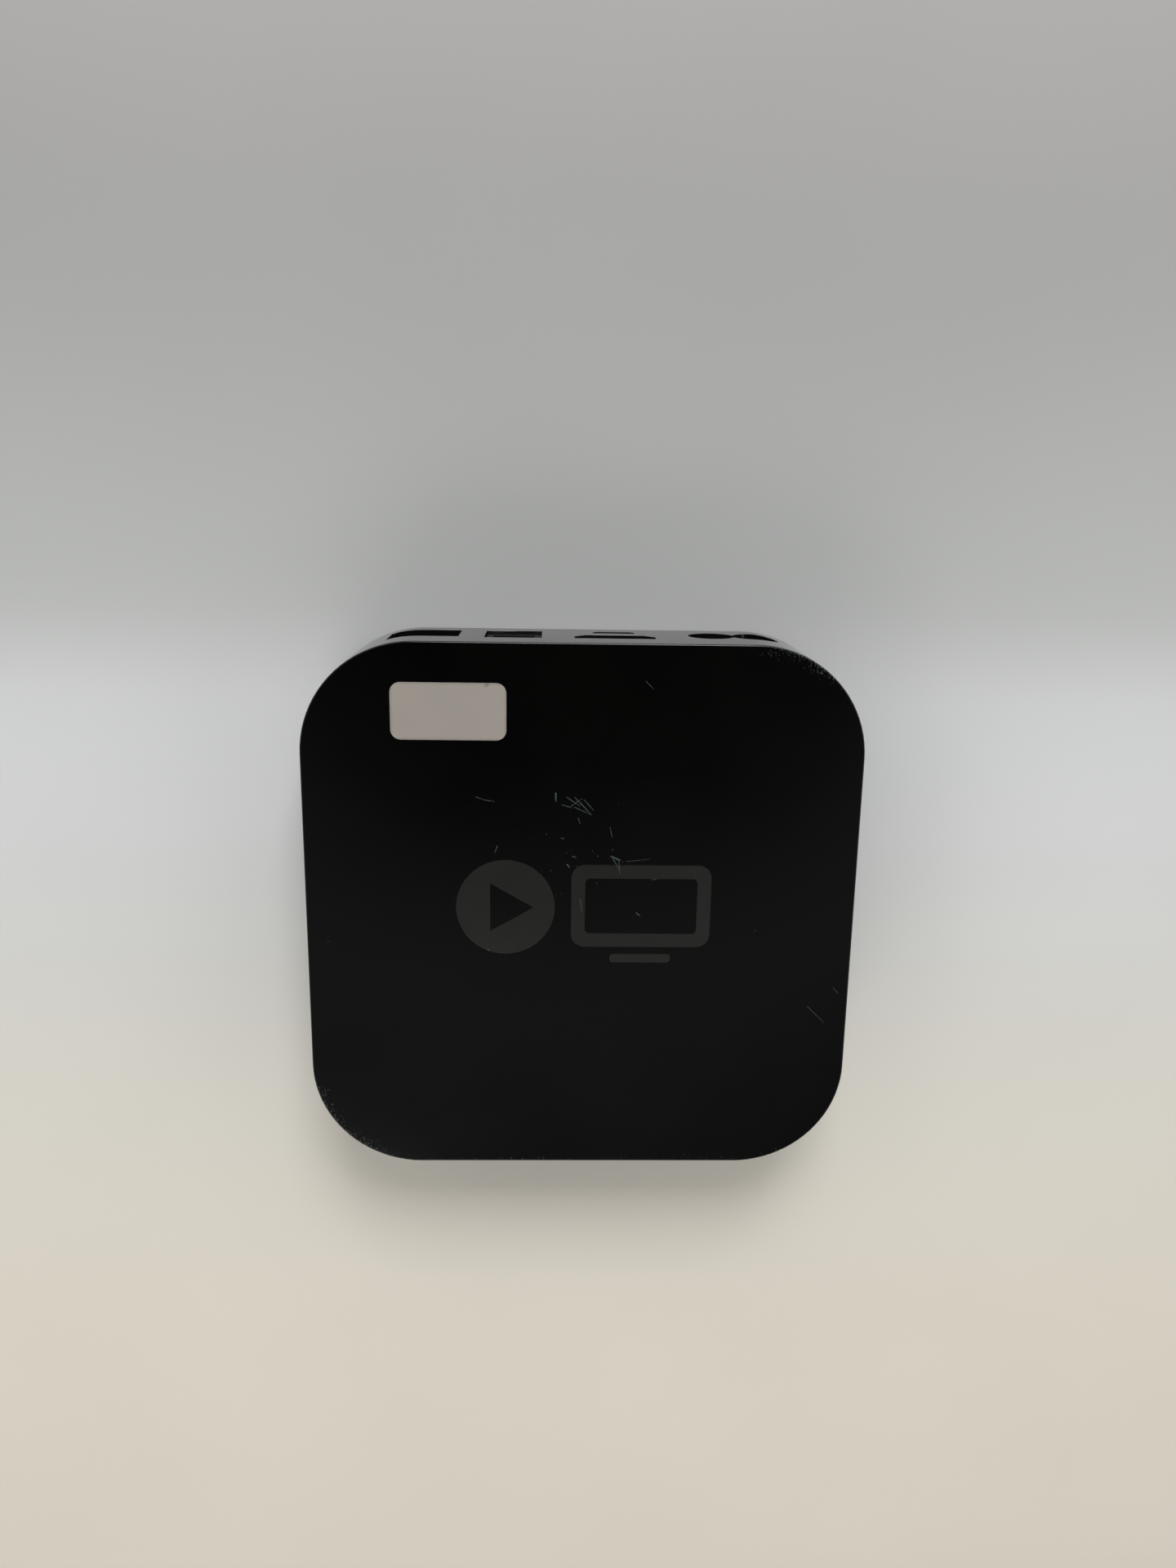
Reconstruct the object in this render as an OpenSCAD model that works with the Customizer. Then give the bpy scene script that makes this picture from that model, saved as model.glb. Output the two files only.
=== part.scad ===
// Streaming media player: a palm-sized set-top box. A one-piece moulded case
// holds a logic board with five rear sockets and a built-in mains supply, and
// a snap-in base closes it from below.
//
// Frame, in millimetres: X to the right seen from the front, Y towards the
// rear sockets, Z up. The origin is the centre of the base pad's underside.

/* [Case] */
// Width and depth of the case at its top face
case_w = 98; // [97:0.5:101]
// Height from the base pad's underside to the top face
case_h = 23; // [23:0.25:25]
// Radius of the case's upright corners
corner_r = 19.8; // [18.5:0.1:20.5]
// Thickness of the case wall at the top face
wall = 2.2; // [1.8:0.1:2.4]
// Thickness of the case's top
top_t = 2; // [1.6:0.1:2]
// How far the wall leans in from the top face to the bottom rim
draft = 0.24; // [0.04:0.02:0.4]
// Radius of the edge around the top face
edge_r = 0.3; // [0.2:0.05:0.6]
// Height of the wall's bottom rim above the surface it stands on
rim_z = 0.9; // [0.6:0.1:1.2]
// Radius of the rounded edge where the wall meets its bottom rim
foot_r = 1.2; // [0.8:0.1:1.3]

/* [Top face marks] */
// Depth of the recess that holds the glossy emblem
emblem_t = 0.3; // [0.2:0.05:0.4]
// Diameter of the emblem's play disc
disc_d = 17.6; // [14:0.2:18]
// Width of the paper label
label_w = 19.9; // [10:0.1:30]
// Depth of the paper label
label_d = 10; // [6:0.1:14]

/* [Rear sockets] */
// Place of the network socket, left of the centre line
ethernet_x = -28.4; // [-28.5:0.05:-28]
// Place of the optical audio socket
optical_x = -12.55; // [-12.7:0.05:-12.4]
// Place of the video socket and the service socket below it
video_x = 5.4; // [5.2:0.1:5.6]
// Place of the mains inlet
inlet_x = 26.8; // [26.6:0.1:27]
// Height of the mains inlet's centre line
inlet_z = 10.5; // [10.2:0.1:10.6]
// Diameter of the two mains pins
pin_d = 2.36; // [2.3:0.02:2.4]
// Distance between the two mains pins
pin_gap = 8.6; // [8.5:0.1:8.7]

/* [Optical shutter] */
// Height of the shutter's hinge line
hinge_z = 14.1; // [14:0.05:14.15]
// Diameter of the hinge pin
hinge_d = 0.8; // [0.7:0.05:0.9]
// Radial clearance of the shutter on its pin
hinge_play = 0.05; // [0.03:0.01:0.08]
// Thickness of the shutter
shutter_t = 0.8; // [0.6:0.05:0.9]

/* [Boards] */
// Height of the logic board's underside
board_z = 9.4; // [9.3:0.05:9.45]
// Thickness of the logic board
board_t = 1.2; // [1:0.1:1.2]
// Height of the supply board's underside
supply_z = 4.6; // [4.5:0.05:4.7]
// Thickness of the supply board
supply_t = 1.6; // [1.4:0.1:1.6]

/* [Hidden] */
$fn = 48;
eps = 0.01;

half = case_w / 2;
inner_half = half - wall;            // the cavity's half width
inner_r = corner_r - wall;
corner_c = half - corner_r;          // centre of an upright corner
ceiling_z = case_h - top_t;
board_top = board_z + board_t;
supply_top = supply_z + supply_t;
wall_face = inner_half - 0.1;        // front of what stands behind the rear wall

pad_t = 0.4;                         // the soft pad under the base
base_t = 1.6;
base_top = pad_t + base_t;
base_half = inner_half - 0.3;
tab_w = 4;
tab_spots = [[0, -20], [0, 20], [1, 4.8], [1, -15], [2, -20], [2, 20], [3, -20], [3, 20]];

emblem_c = [-13.6, 1.6];             // centre of the play disc
screen_c = [10.6, 1.9];              // centre of the screen glyph
screen_w = 25;
screen_d = 15.4;
label_c = [-23.35, 37];
label_t = 0.12;

ethernet_w = 12.6;
ethernet_lo = 6.1;
ethernet_hi = 15.4;
ethernet_back = 31.5;
optical_w = 9.8;
optical_lo = 6.3;
optical_hi = 16.2;
optical_front = half - 0.8;
optical_back = 33;
video_top = 15.9;
video_h = 4.55;
video_w = 14;
service_z = 7.1;                         // centre height of the service socket
service_w = 6.9;
service_h = 1.85;
sheet_t = 0.25;                      // sheet metal of the socket shells

inlet_w = 16.2;
inlet_h = 8.3;
inlet_floor = 35.4;                  // where the inlet's hollow ends
inlet_back = 31.8;
pin_tip = 45.4;
tip_h = 0.6;                         // height of a pin's bevelled tip
collar_d = 2.8;
tail_y = 29.5;                       // where the pins turn down to the supply board

shutter_y = optical_front - 1;       // hinge line
shutter_half = 3.55;
mouth_half = 3.7;
mouth_lo = 7.8;
mouth_hi = 15;
spring_room = 1.1;                   // left beside the barrel for the spring

logic_bosses = [[-40.5, -33], [-41.5, 24], [9, -32], [8.5, 24]];
supply_bosses = [[41, -30], [19, -34.5], [42, 24]];
spreader_bosses = [[-24, 24], [-3, -34], [-34, -12]];
boss_r = 2.4;
screw_r = 0.95;
thread_r = 1;
head_r = 2;
head_h = 1.2;

spreader_z = 18.4;
spreader_t = 1.2;
pedestal_x = [-32, -12];
pedestal_y = [-17, 3];
shield_x = [-38, -2];
shield_y = [-24, 10];
shield_h = 3.2;
gap_pad_t = 1;

led_board_y = [-41.6, -40.8];
led_board_x = [16, 34];
led_board_z = [5.5, 14.5];
led_x = 29;
front_z = 10;                        // height of the lamp and the receiver

// ---------- shared shapes ----------

// A rounded rectangle with true arcs at its corners.
module rounded_rect(w, d, r) {
    square([w - 2 * r, d], center = true);
    square([w, d - 2 * r], center = true);
    for (sx = [-1, 1], sy = [-1, 1])
        translate([sx * (w / 2 - r), sy * (d / 2 - r)]) circle(r);
}

// A box given by its ranges along X, Y and Z.
module block(x, y, z)
    translate([x[0], y[0], z[0]])
        cube([x[1] - x[0], y[1] - y[0], z[1] - z[0]]);

// Extrudes a shape drawn in X and Z along Y.
module along_y(y0, y1)
    translate([0, y1, 0]) rotate([90, 0, 0]) linear_extrude(y1 - y0) children();

// Extrudes a shape drawn in Y and Z along X.
module along_x(x0, x1)
    translate([x0, 0, 0]) rotate([90, 0, 90]) linear_extrude(x1 - x0) children();

// The case's cavity outline, moved in from the wall by a gap.
module cavity_outline(gap)
    rounded_rect(2 * (inner_half - gap), 2 * (inner_half - gap), inner_r - gap);

// Keeps only what fits inside the cavity, with a gap to the wall.
module in_cavity(gap) {
    intersection() {
        children();
        translate([0, 0, -1]) linear_extrude(case_h + 2) cavity_outline(gap);
    }
}

// Points of an arc about c, from angle a0 to a1 in n steps.
function arc(c, r, a0, a1, n) =
    [for (i = [0:n]) let (a = a0 + (a1 - a0) * i / n) c + r * [cos(a), sin(a)]];

// One round of corner cutting, which smooths a path and keeps its ends.
function smoothed(p) = concat(
    [p[0]],
    [for (i = [0:len(p) - 2]) each [0.75 * p[i] + 0.25 * p[i + 1], 0.25 * p[i] + 0.75 * p[i + 1]]],
    [p[len(p) - 1]]
);

function unit(v) = v / norm(v);
function tangent(p, i) = unit(p[min(i + 1, len(p) - 1)] - p[max(i - 1, 0)]);

// A round wire swept along a path. The path never runs along the reference direction.
module wire(path, r, reference, sides = 8) {
    n = len(path);
    rings = [
        for (i = [0:n - 1])
            let (t = tangent(path, i), u = unit(cross(reference, t)), v = cross(t, u))
            for (k = [0:sides - 1])
                path[i] + r * (cos(360 * k / sides) * u + sin(360 * k / sides) * v)
    ];
    tube = [
        for (i = [0:n - 2], k = [0:sides - 1])
            let (a = i * sides + k, b = i * sides + (k + 1) % sides)
            each [[a, a + sides, b], [b, a + sides, b + sides]]
    ];
    first = [for (k = [0:sides - 1]) k];
    last = [for (k = [sides - 1:-1:0]) (n - 1) * sides + k];
    polyhedron(rings, concat(tube, [first, last]));
}

// A thin strip of constant thickness that follows points in a plane.
function strip(p, t) = concat(
    p, [for (i = [len(p) - 1:-1:0]) p[i] + t * strip_normal(p, i)]
);
function strip_normal(p, i) =
    let (d = p[min(i + 1, len(p) - 1)] - p[max(i - 1, 0)]) [-d[1], d[0]] / norm(d);

// A screw with its head down: the shaft goes up from z.
module screw_up(x, y, z, length) {
    translate([x, y, z - head_h]) difference() {
        cylinder(h = head_h, r = head_r);
        translate([0, 0, -eps]) cylinder(h = 0.7, r = 0.95, $fn = 6);
    }
    translate([x, y, z]) cylinder(h = length, r = screw_r);
}

// ---------- outlines of the sockets, drawn in X and Z ----------

// Wide side up, as on the video socket; grow moves the outline outwards.
module video_outline(grow) {
    w = video_w / 2 + grow;
    top = video_top + grow;
    mid = video_top - 2.5 - grow * 0.4;
    low = video_top - video_h - grow;
    translate([video_x, 0])
        polygon([[-w, top], [w, top], [w, mid], [w - 2.1, low], [2.1 - w, low], [-w, mid]]);
}

module service_outline(grow) {
    w = service_w / 2 + grow;
    h = service_h / 2 + grow;
    translate([video_x, service_z])
        polygon([[-w, h], [w, h], [w, -h * 0.15], [w - 0.8, -h], [0.8 - w, -h], [-w, -h * 0.15]]);
}

// Two round lobes joined by a waist.
module inlet_outline(grow) {
    r = inlet_h / 2 + grow;
    c = inlet_w / 2 - inlet_h / 2;
    waist = 1.6 + grow;
    translate([inlet_x, inlet_z]) {
        for (s = [-1, 1]) translate([s * c, 0]) circle(r);
        polygon([
            [-2.6, 3.6 + grow], [-0.9, waist], [0.9, waist], [2.6, 3.6 + grow],
            [2.6, -3.6 - grow], [0.9, -waist], [-0.9, -waist], [-2.6, -3.6 - grow]
        ]);
    }
}

module ethernet_outline()
    translate([ethernet_x - ethernet_w / 2, ethernet_lo])
        square([ethernet_w, ethernet_hi - ethernet_lo]);

module optical_outline(grow)
    translate([optical_x, (optical_lo + optical_hi) / 2])
        square([optical_w + 2 * grow, optical_hi - optical_lo + 2 * grow], center = true);

// ---------- case ----------

// Section of the wall: distance from the corner's centre, and height.
wall_section = concat(
    [[inner_r, rim_z]],
    arc([corner_r - draft - foot_r, rim_z + foot_r], foot_r, -90, 0, 6),
    arc([corner_r - edge_r, case_h - edge_r], edge_r, 0, 90, 5),
    [[inner_r, case_h]]
);

module case_wall() {
    for (q = [0:3]) rotate(90 * q) {
        translate([corner_c, corner_c, 0]) rotate_extrude(angle = 90) polygon(wall_section);
        along_y(-corner_c, corner_c) translate([corner_c, 0]) polygon(wall_section);
    }
}

module case_bosses() {
    for (p = logic_bosses) translate([p[0], p[1], board_top])
        cylinder(h = ceiling_z - board_top + eps, r = boss_r);
    for (p = supply_bosses) translate([p[0], p[1], supply_top])
        cylinder(h = ceiling_z - supply_top + eps, r = boss_r);
    for (p = spreader_bosses) translate([p[0], p[1], spreader_z + spreader_t])
        cylinder(h = ceiling_z - spreader_z - spreader_t + eps, r = boss_r);
}

module case_threads() {
    for (p = logic_bosses) translate([p[0], p[1], board_top - eps]) cylinder(h = 5, r = thread_r);
    for (p = supply_bosses) translate([p[0], p[1], supply_top - eps]) cylinder(h = 5, r = thread_r);
    for (p = spreader_bosses)
        translate([p[0], p[1], spreader_z + spreader_t - eps]) cylinder(h = 1.5, r = thread_r);
}

// The hollows in the wall that the base's hooks snap into.
module snap_pockets() {
    for (s = tab_spots) rotate(90 * s[0])
        block([inner_half - 1, inner_half + 0.8],
              [s[1] - tab_w / 2 - 0.2, s[1] + tab_w / 2 + 0.2], [4.3, 5.9]);
}

module socket_windows() {
    along_y(inner_half - 3, half + 1) {
        ethernet_outline();
        optical_outline(0.12);
        video_outline(0.15);
        service_outline(0.3);
        inlet_outline(0);
    }
}

// The glossy glyphs: a play disc, and a screen on a stand.
module emblem_outline(grow) {
    translate(emblem_c) difference() {
        circle(disc_d / 2 + grow, $fn = 96);
        polygon([
            [-2.7 + grow, 4.5 - 2 * grow], [-2.7 + grow, -4.5 + 2 * grow], [5 - 2 * grow, 0]
        ]);
    }
    translate(screen_c) {
        difference() {
            rounded_rect(screen_w + 2 * grow, screen_d + 2 * grow, 2.4 + grow);
            rounded_rect(screen_w - 5 - 2 * grow, screen_d - 5 - 2 * grow, 0.9);
        }
        translate([0, -screen_d / 2 - 2.2]) rounded_rect(11 + 2 * grow, 1.6 + 2 * grow, 0.6);
    }
}

// Ribs beside the front board, which slides in between them.
module front_ribs() {
    for (x = [led_board_x[0] - 1.5, led_board_x[1] + 0.3])
        block([x, x + 1.2], [led_board_y[0] - 1, led_board_y[1]], [6.5, ceiling_z + eps]);
}

module top_housing() {
    color("#101010") difference() {
        union() {
            case_wall();
            translate([0, 0, ceiling_z]) linear_extrude(top_t) cavity_outline(0);
            case_bosses();
            front_ribs();
        }
        case_threads();
        snap_pockets();
        socket_windows();
        translate([0, 0, case_h - emblem_t]) linear_extrude(1) emblem_outline(0.03);
    }
}

module emblem_inlay() {
    color("#26272a") translate([0, 0, case_h - emblem_t])
        linear_extrude(emblem_t + 0.02) emblem_outline(0);
}

module blank_label() {
    color("#99928a") translate([label_c[0], label_c[1], case_h])
        linear_extrude(label_t) rounded_rect(label_w, label_d, 1.8);
}

// Plate with eight hooked tabs.
module base_cover() {
    color("#1b1b1c") {
        translate([0, 0, pad_t]) linear_extrude(base_t)
            rounded_rect(2 * base_half, 2 * base_half, inner_r - 0.3);
        for (s = tab_spots) rotate(90 * s[0])
            along_y(s[1] - tab_w / 2, s[1] + tab_w / 2) polygon([
                [base_half - 1.6, base_top - eps], [base_half - 0.4, base_top - eps],
                [base_half - 0.4, 4.5], [inner_half + 0.5, 4.6], [inner_half + 0.5, 4.9],
                [base_half - 0.4, 5.8], [base_half - 1.6, 5.8]
            ]);
    }
}

module base_pad() {
    color("#232324") linear_extrude(pad_t)
        rounded_rect(2 * base_half - 1.2, 2 * base_half - 1.2, inner_r - 0.9);
}

module insulator_sheet() {
    color("#e8e6df") translate([0, 0, base_top]) linear_extrude(0.2) intersection() {
        cavity_outline(2.4);
        translate([14, -39]) square([31, 70]);
    }
}

// ---------- heat path ----------

module heat_spreader() {
    color("#b9bcc0") difference() {
        union() {
            in_cavity(2) block([-46, 12.5], [-41, 30], [spreader_z, spreader_z + spreader_t]);
            block(pedestal_x, pedestal_y, [board_top + shield_h + gap_pad_t, spreader_z + eps]);
        }
        for (p = logic_bosses) translate([p[0], p[1], spreader_z - 1]) cylinder(h = 4, r = boss_r + 0.4);
        for (p = spreader_bosses) translate([p[0], p[1], spreader_z - 1]) cylinder(h = 4, r = 1.2);
    }
}

module spreader_pad() {
    color("#7f93b8") block(
        [pedestal_x[0] + 1, pedestal_x[1] - 1], [pedestal_y[0] + 1, pedestal_y[1] - 1],
        [board_top + shield_h, board_top + shield_h + gap_pad_t]
    );
}

module spreader_screws() {
    color("#8d8f92") for (p = spreader_bosses) screw_up(p[0], p[1], spreader_z, spreader_t + 1.2);
}

// ---------- logic board ----------

module logic_board() {
    color("#1f4a33") difference() {
        translate([0, 0, board_z]) linear_extrude(board_t) difference() {
            intersection() {
                translate([-50, -43]) square([63, 88.8]);
                cavity_outline(0.6);
            }
            translate([ethernet_x - 8.8, ethernet_back - 0.5]) square([17.6, 30]);
            translate([optical_x - optical_w / 2 - 0.3, optical_back - 0.5]) square([optical_w + 0.6, 30]);
        }
        for (p = logic_bosses) translate([p[0], p[1], board_z - 1]) cylinder(h = 4, r = 1.2);
    }
}

module board_screws() {
    color("#8d8f92") for (p = logic_bosses) screw_up(p[0], p[1], board_z, board_t + 4.6);
}

module processor() {
    color("#2b2d2f") block([-29, -15], [-14, 0], [board_top, board_top + 1.2]);
}

module processor_pad() {
    color("#7f93b8") block([-28, -16], [-13, -1], [board_top + 1.2, board_top + shield_h - sheet_t]);
}

module memory_chip() {
    color("#2b2d2f") block([-13, -4], [-14, 0], [board_top, board_top + 1]);
}

// A lid with four walls and small vent holes along its front.
module processor_shield() {
    color("#c9ccd0") difference() {
        block(shield_x, shield_y, [board_top, board_top + shield_h]);
        block([shield_x[0] + sheet_t, shield_x[1] - sheet_t],
              [shield_y[0] + sheet_t, shield_y[1] - sheet_t],
              [board_top - 1, board_top + shield_h - sheet_t]);
        for (i = [0:8])
            translate([shield_x[0] + 4 + 3.5 * i, shield_y[0] + 3, board_top]) cylinder(h = 5, r = 0.6);
    }
}

// A shielded radio with two coaxial connectors.
module radio_module() {
    color("#bfc3c7") {
        block([-36, -22], [-41, -30], [board_top, board_top + 1.8]);
        for (x = [-34, -24]) translate([x, -36, board_top + 1.8 - eps]) cylinder(h = 0.5, r = 1);
    }
}

module board_capacitors() {
    color("#3b3f46") for (p = [[2.5, -8], [2.5, -1.5], [2.5, 8], [-10, 16], [-17, 16]])
        translate([p[0], p[1], board_top]) {
            block([-2.7, 2.7], [-2.7, 2.7], [0, 0.8]);
            translate([0, 0, 0.8 - eps]) cylinder(h = 4.6, r = 2.5);
        }
}

module board_inductors() {
    color("#4c4a47") for (p = [[2.6, -15], [2.6, -22], [-10, -33], [2.6, 17]])
        translate([p[0], p[1], board_top + 1.4]) linear_extrude(2.8, center = true) rounded_rect(5, 5, 1);
}

module network_transformer() {
    color("#1d1e20") block([-34.4, -21.6], [18.5, 27.5], [board_top, board_top + 5.4]);
}

// An open-topped header with four pin slots.
module logic_power_header() {
    color("#e9e4d6") difference() {
        block([7, 12], [1, 10], [board_top, board_top + 3.4]);
        block([8, 11], [2, 9], [board_top + 1, board_top + 5]);
    }
}

// A thin foil strip bent around one of the case's front corners.
module antenna_foil(side, a0, a1) {
    translate([side * corner_c, -corner_c, 8]) rotate(a0)
        rotate_extrude(angle = a1 - a0) translate([inner_r - 0.5, 0]) square([0.4, 8.5]);
}

module antenna_left() color("#b88a4a") antenna_foil(-1, 190, 262);
module antenna_right() color("#b88a4a") antenna_foil(1, 296, 352);

module antenna_cable_left()
    color("#3a3a3c") wire(smoothed(smoothed([
        [-34, -35.6, 13.5], [-34, -38.5, 14], [-36, -41, 14], [-39, -41.4, 13.5], [-40.8, -40.8, 13]
    ])), 0.55, [0, 0, 1]);

module antenna_cable_right()
    color("#3a3a3c") wire(smoothed(smoothed([
        [-24, -35.6, 13.5], [-23, -40, 14], [-16, -43.2, 15.4], [-2, -43.6, 16.4],
        [14, -43.6, 16.4], [28, -43.8, 16.2], [33, -44.2, 15], [35.9, -44.2, 14]
    ])), 0.55, [0, 0, 1]);

// ---------- network socket ----------

module ethernet_jack() {
    floor_y = 34.2;
    color("#17181a") in_cavity(0.4) difference() {
        block([ethernet_x - 8, ethernet_x + 8], [ethernet_back, 60], [5.4, 16.6]);
        block([ethernet_x - 5.85, ethernet_x + 5.85], [floor_y, 60], [8.3, 15.1]);
        block([ethernet_x - 3.1, ethernet_x + 3.1], [floor_y + 3, 60], [6.8, 8.4]);
        for (i = [0:7]) block(
            [ethernet_x - 3.87 + 1.02 * i, ethernet_x - 3.27 + 1.02 * i], [floor_y, 45.6], [15, 15.6]);
    }
}

// Sheet metal over the top, the sides and the back of the network socket.
module ethernet_shield() {
    x = [ethernet_x - 8.05 - sheet_t, ethernet_x + 8.05 + sheet_t];
    color("#c4c7ca") in_cavity(0.2) difference() {
        block(x, [ethernet_back - sheet_t - 0.05, 60], [5.4, 16.65 + sheet_t]);
        block([x[0] + sheet_t, x[1] - sheet_t], [ethernet_back - 0.05, 61], [5, 16.65]);
    }
}

// Eight spring wires that slope down from the mouth towards the back.
module ethernet_contacts() {
    color("#d8b25a") for (i = [0:7]) {
        x = ethernet_x - 3.57 + 1.02 * i;
        along_x(x - 0.2, x + 0.2) polygon(strip([
            [45.3, 15.55], [44.7, 15.5], [43.7, 14.8], [37, 12.2], [36.4, 12.2]
        ], 0.3));
    }
}

// ---------- optical socket ----------

module optical_jack() {
    y = [optical_back, optical_front];
    color("#131314") difference() {
        block([optical_x - optical_w / 2, optical_x + optical_w / 2], y, [optical_lo, optical_hi]);
        block([optical_x - mouth_half, optical_x + mouth_half], [36.4, 60], [mouth_lo, mouth_hi]);
        // bores for the hinge pin
        translate([optical_x - 4.4, shutter_y, hinge_z]) rotate([0, 90, 0])
            cylinder(h = 8.8, d = hinge_d + 0.02);
        // seat of the emitter
        translate([optical_x, 40, 10.9]) rotate([90, 0, 0]) cylinder(h = 6, r = 1.7);
    }
}

module optical_emitter() {
    color("#7a1f22") {
        translate([optical_x, 36.4, 10.9]) rotate([90, 0, 0]) cylinder(h = 2.2, r = 1.6);
        translate([optical_x, 37.4, 10.9]) rotate([90, 0, 0]) cylinder(h = 1.01, r = 1.1);
    }
}

// The flap hangs from a barrel on the hinge pin, with room beside the barrel for the spring.
module optical_shutter() {
    x0 = optical_x - shutter_half;
    x1 = optical_x + shutter_half;
    y = [shutter_y - shutter_t / 2, shutter_y + shutter_t / 2];
    color("#1a1a1b") difference() {
        union() {
            block([x0, x1], y, [mouth_lo + 0.15, hinge_z - 0.9]);
            block([x0 + spring_room, x1], y, [hinge_z - 1, hinge_z]);
            translate([x0 + spring_room, shutter_y, hinge_z]) rotate([0, 90, 0])
                cylinder(h = 2 * shutter_half - spring_room, r = 0.75);
        }
        translate([x0 - 1, shutter_y, hinge_z]) rotate([0, 90, 0])
            cylinder(h = 2 * shutter_half + 2, d = hinge_d + 2 * hinge_play);
    }
}

module shutter_pin() {
    color("#b4b6b9") translate([optical_x - 4.3, shutter_y, hinge_z]) rotate([0, 90, 0])
        cylinder(h = 8.6, d = hinge_d);
}

// A torsion spring: three turns beside the barrel, one leg on the roof and one behind the flap.
module shutter_spring() {
    turns = 3;
    steps = 12;
    r = 0.6;
    x0 = optical_x - shutter_half + 0.05;
    coil = [
        for (i = [0:turns * steps]) let (a = 90 + 360 * i / steps)
            [x0 + 0.15 + 0.24 * i / steps, shutter_y + r * cos(a), hinge_z + r * sin(a)]
    ];
    tail_x = x0 + 0.15 + 0.24 * turns;
    color("#9b9da0") wire(concat(
        [[x0 + 0.15, shutter_y - 2.2, hinge_z + 0.62], [x0 + 0.15, shutter_y - 1, hinge_z + 0.62]],
        coil,
        [[tail_x + 0.04, shutter_y - 0.45, hinge_z + 0.4], [tail_x + 0.05, shutter_y - 0.56, hinge_z - 0.2],
         [tail_x + 0.05, shutter_y - 0.56, hinge_z - 2.6]]
    ), 0.1, [1, 0, 0], 6);
}

// ---------- video and service sockets ----------

module socket_legs(x, y, z) for (sx = [-1, 1]) block([video_x + sx * x - 0.4, video_x + sx * x + 0.4], y, z);

module video_shell() {
    color("#c4c7ca") difference() {
        union() {
            along_y(35.4, wall_face) video_outline(0.3);
            for (y = [37, 43]) socket_legs(4.2, [y, y + 1.6], [board_top, video_top - video_h - 0.2]);
        }
        along_y(35, wall_face + 1) video_outline(0);
    }
}

module video_tongue() {
    color("#1c1d1f") {
        along_y(35.4, 37.2) video_outline(-0.05);
        block([video_x - 5.85, video_x + 5.85], [37.1, 45.4], [video_top - 2.5, video_top - 1.4]);
    }
}

// Ten strips above the tongue and nine below it.
module video_contacts() {
    color("#d8b25a") {
        for (i = [0:9])
            block([video_x - 4.72 + i, video_x - 4.28 + i], [37.2, 44.8], [video_top - 1.4, video_top - 1.3]);
        for (i = [0:8])
            block([video_x - 4.22 + i, video_x - 3.78 + i], [37.2, 44.8], [video_top - 2.6, video_top - 2.5]);
    }
}

module service_shell() {
    color("#c4c7ca") difference() {
        union() {
            along_y(41, wall_face) service_outline(0.25);
            socket_legs(2.6, [42, 43.4], [service_z + 0.6, board_z]);
        }
        along_y(40, wall_face + 1) service_outline(0);
    }
}

module service_tongue() {
    color("#1c1d1f") {
        along_y(41, 42) service_outline(-0.04);
        block([video_x - 1.85, video_x + 1.85], [41.9, 45.8], [service_z + 0.05, service_z + 0.6]);
    }
}

module service_contacts() {
    color("#d8b25a") for (i = [-2:2])
        block([video_x + 0.65 * i - 0.2, video_x + 0.65 * i + 0.2], [42, 45.4],
              [service_z - 0.03, service_z + 0.05]);
}

// ---------- mains inlet ----------

module inlet_body() {
    color("#151516") in_cavity(0.1) difference() {
        block([inlet_x - 9.8, inlet_x + 9.6], [inlet_back, 60], [supply_top - 1.2, 15.4]);
        along_y(inlet_floor, 61) inlet_outline(0);
        for (s = [-1, 1]) translate([inlet_x + s * pin_gap / 2, inlet_back - 1, inlet_z])
            rotate([-90, 0, 0]) cylinder(h = 10, d = collar_d + 0.02);
    }
}

// Round pins with bevelled tips. A collar holds each in the inlet's floor, and its tail turns
// down to the supply board.
module inlet_pins() {
    r = pin_d / 2;
    straight = pin_tip - inlet_floor - tip_h;
    color("#c9cbce") for (s = [-1, 1]) translate([inlet_x + s * pin_gap / 2, 0, 0]) {
        translate([0, tail_y, inlet_z]) rotate([-90, 0, 0]) cylinder(h = inlet_floor - tail_y, d = collar_d);
        translate([0, inlet_floor - eps, inlet_z]) rotate([-90, 0, 0]) {
            cylinder(h = straight + eps, r = r);
            translate([0, 0, straight]) cylinder(h = tip_h, r1 = r, r2 = r - 0.5);
        }
        block([-0.5, 0.5], [tail_y, tail_y + 0.8], [supply_top, inlet_z]);
    }
}

// ---------- mains supply ----------

module supply_board() {
    color("#8a6a35") difference() {
        translate([0, 0, supply_z]) linear_extrude(supply_t) intersection() {
            translate([14.2, -39.5]) square([40, 70.8]);
            cavity_outline(1.2);
        }
        for (y = [-20, 20])
            block([base_half - 2, half],
                  [y - tab_w / 2 - 0.4, y + tab_w / 2 + 0.4], [supply_z - 1, supply_top + 1]);
        for (p = supply_bosses) translate([p[0], p[1], supply_z - 1]) cylinder(h = 4, r = 1.2);
    }
}

module supply_screws() {
    color("#8d8f92") for (p = supply_bosses) screw_up(p[0], p[1], supply_z, supply_t + 4.6);
}

core_c = [23.6, -8];
core_x = 16;
core_y = 8;
core_h = 12.5;
leg_h = 4.2;

// A ferrite frame with a centre leg, and two windows for the winding.
module transformer_core() {
    color("#3d3e40") along_y(core_c[1] - core_y / 2, core_c[1] + core_y / 2)
        translate([core_c[0], supply_top + 1.5 + core_h / 2]) difference() {
            square([core_x, core_h], center = true);
            for (s = [-1, 1]) translate([0, s * (leg_h / 2 + 1.35)]) square([core_x - 6, 2.7], center = true);
        }
}

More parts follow.
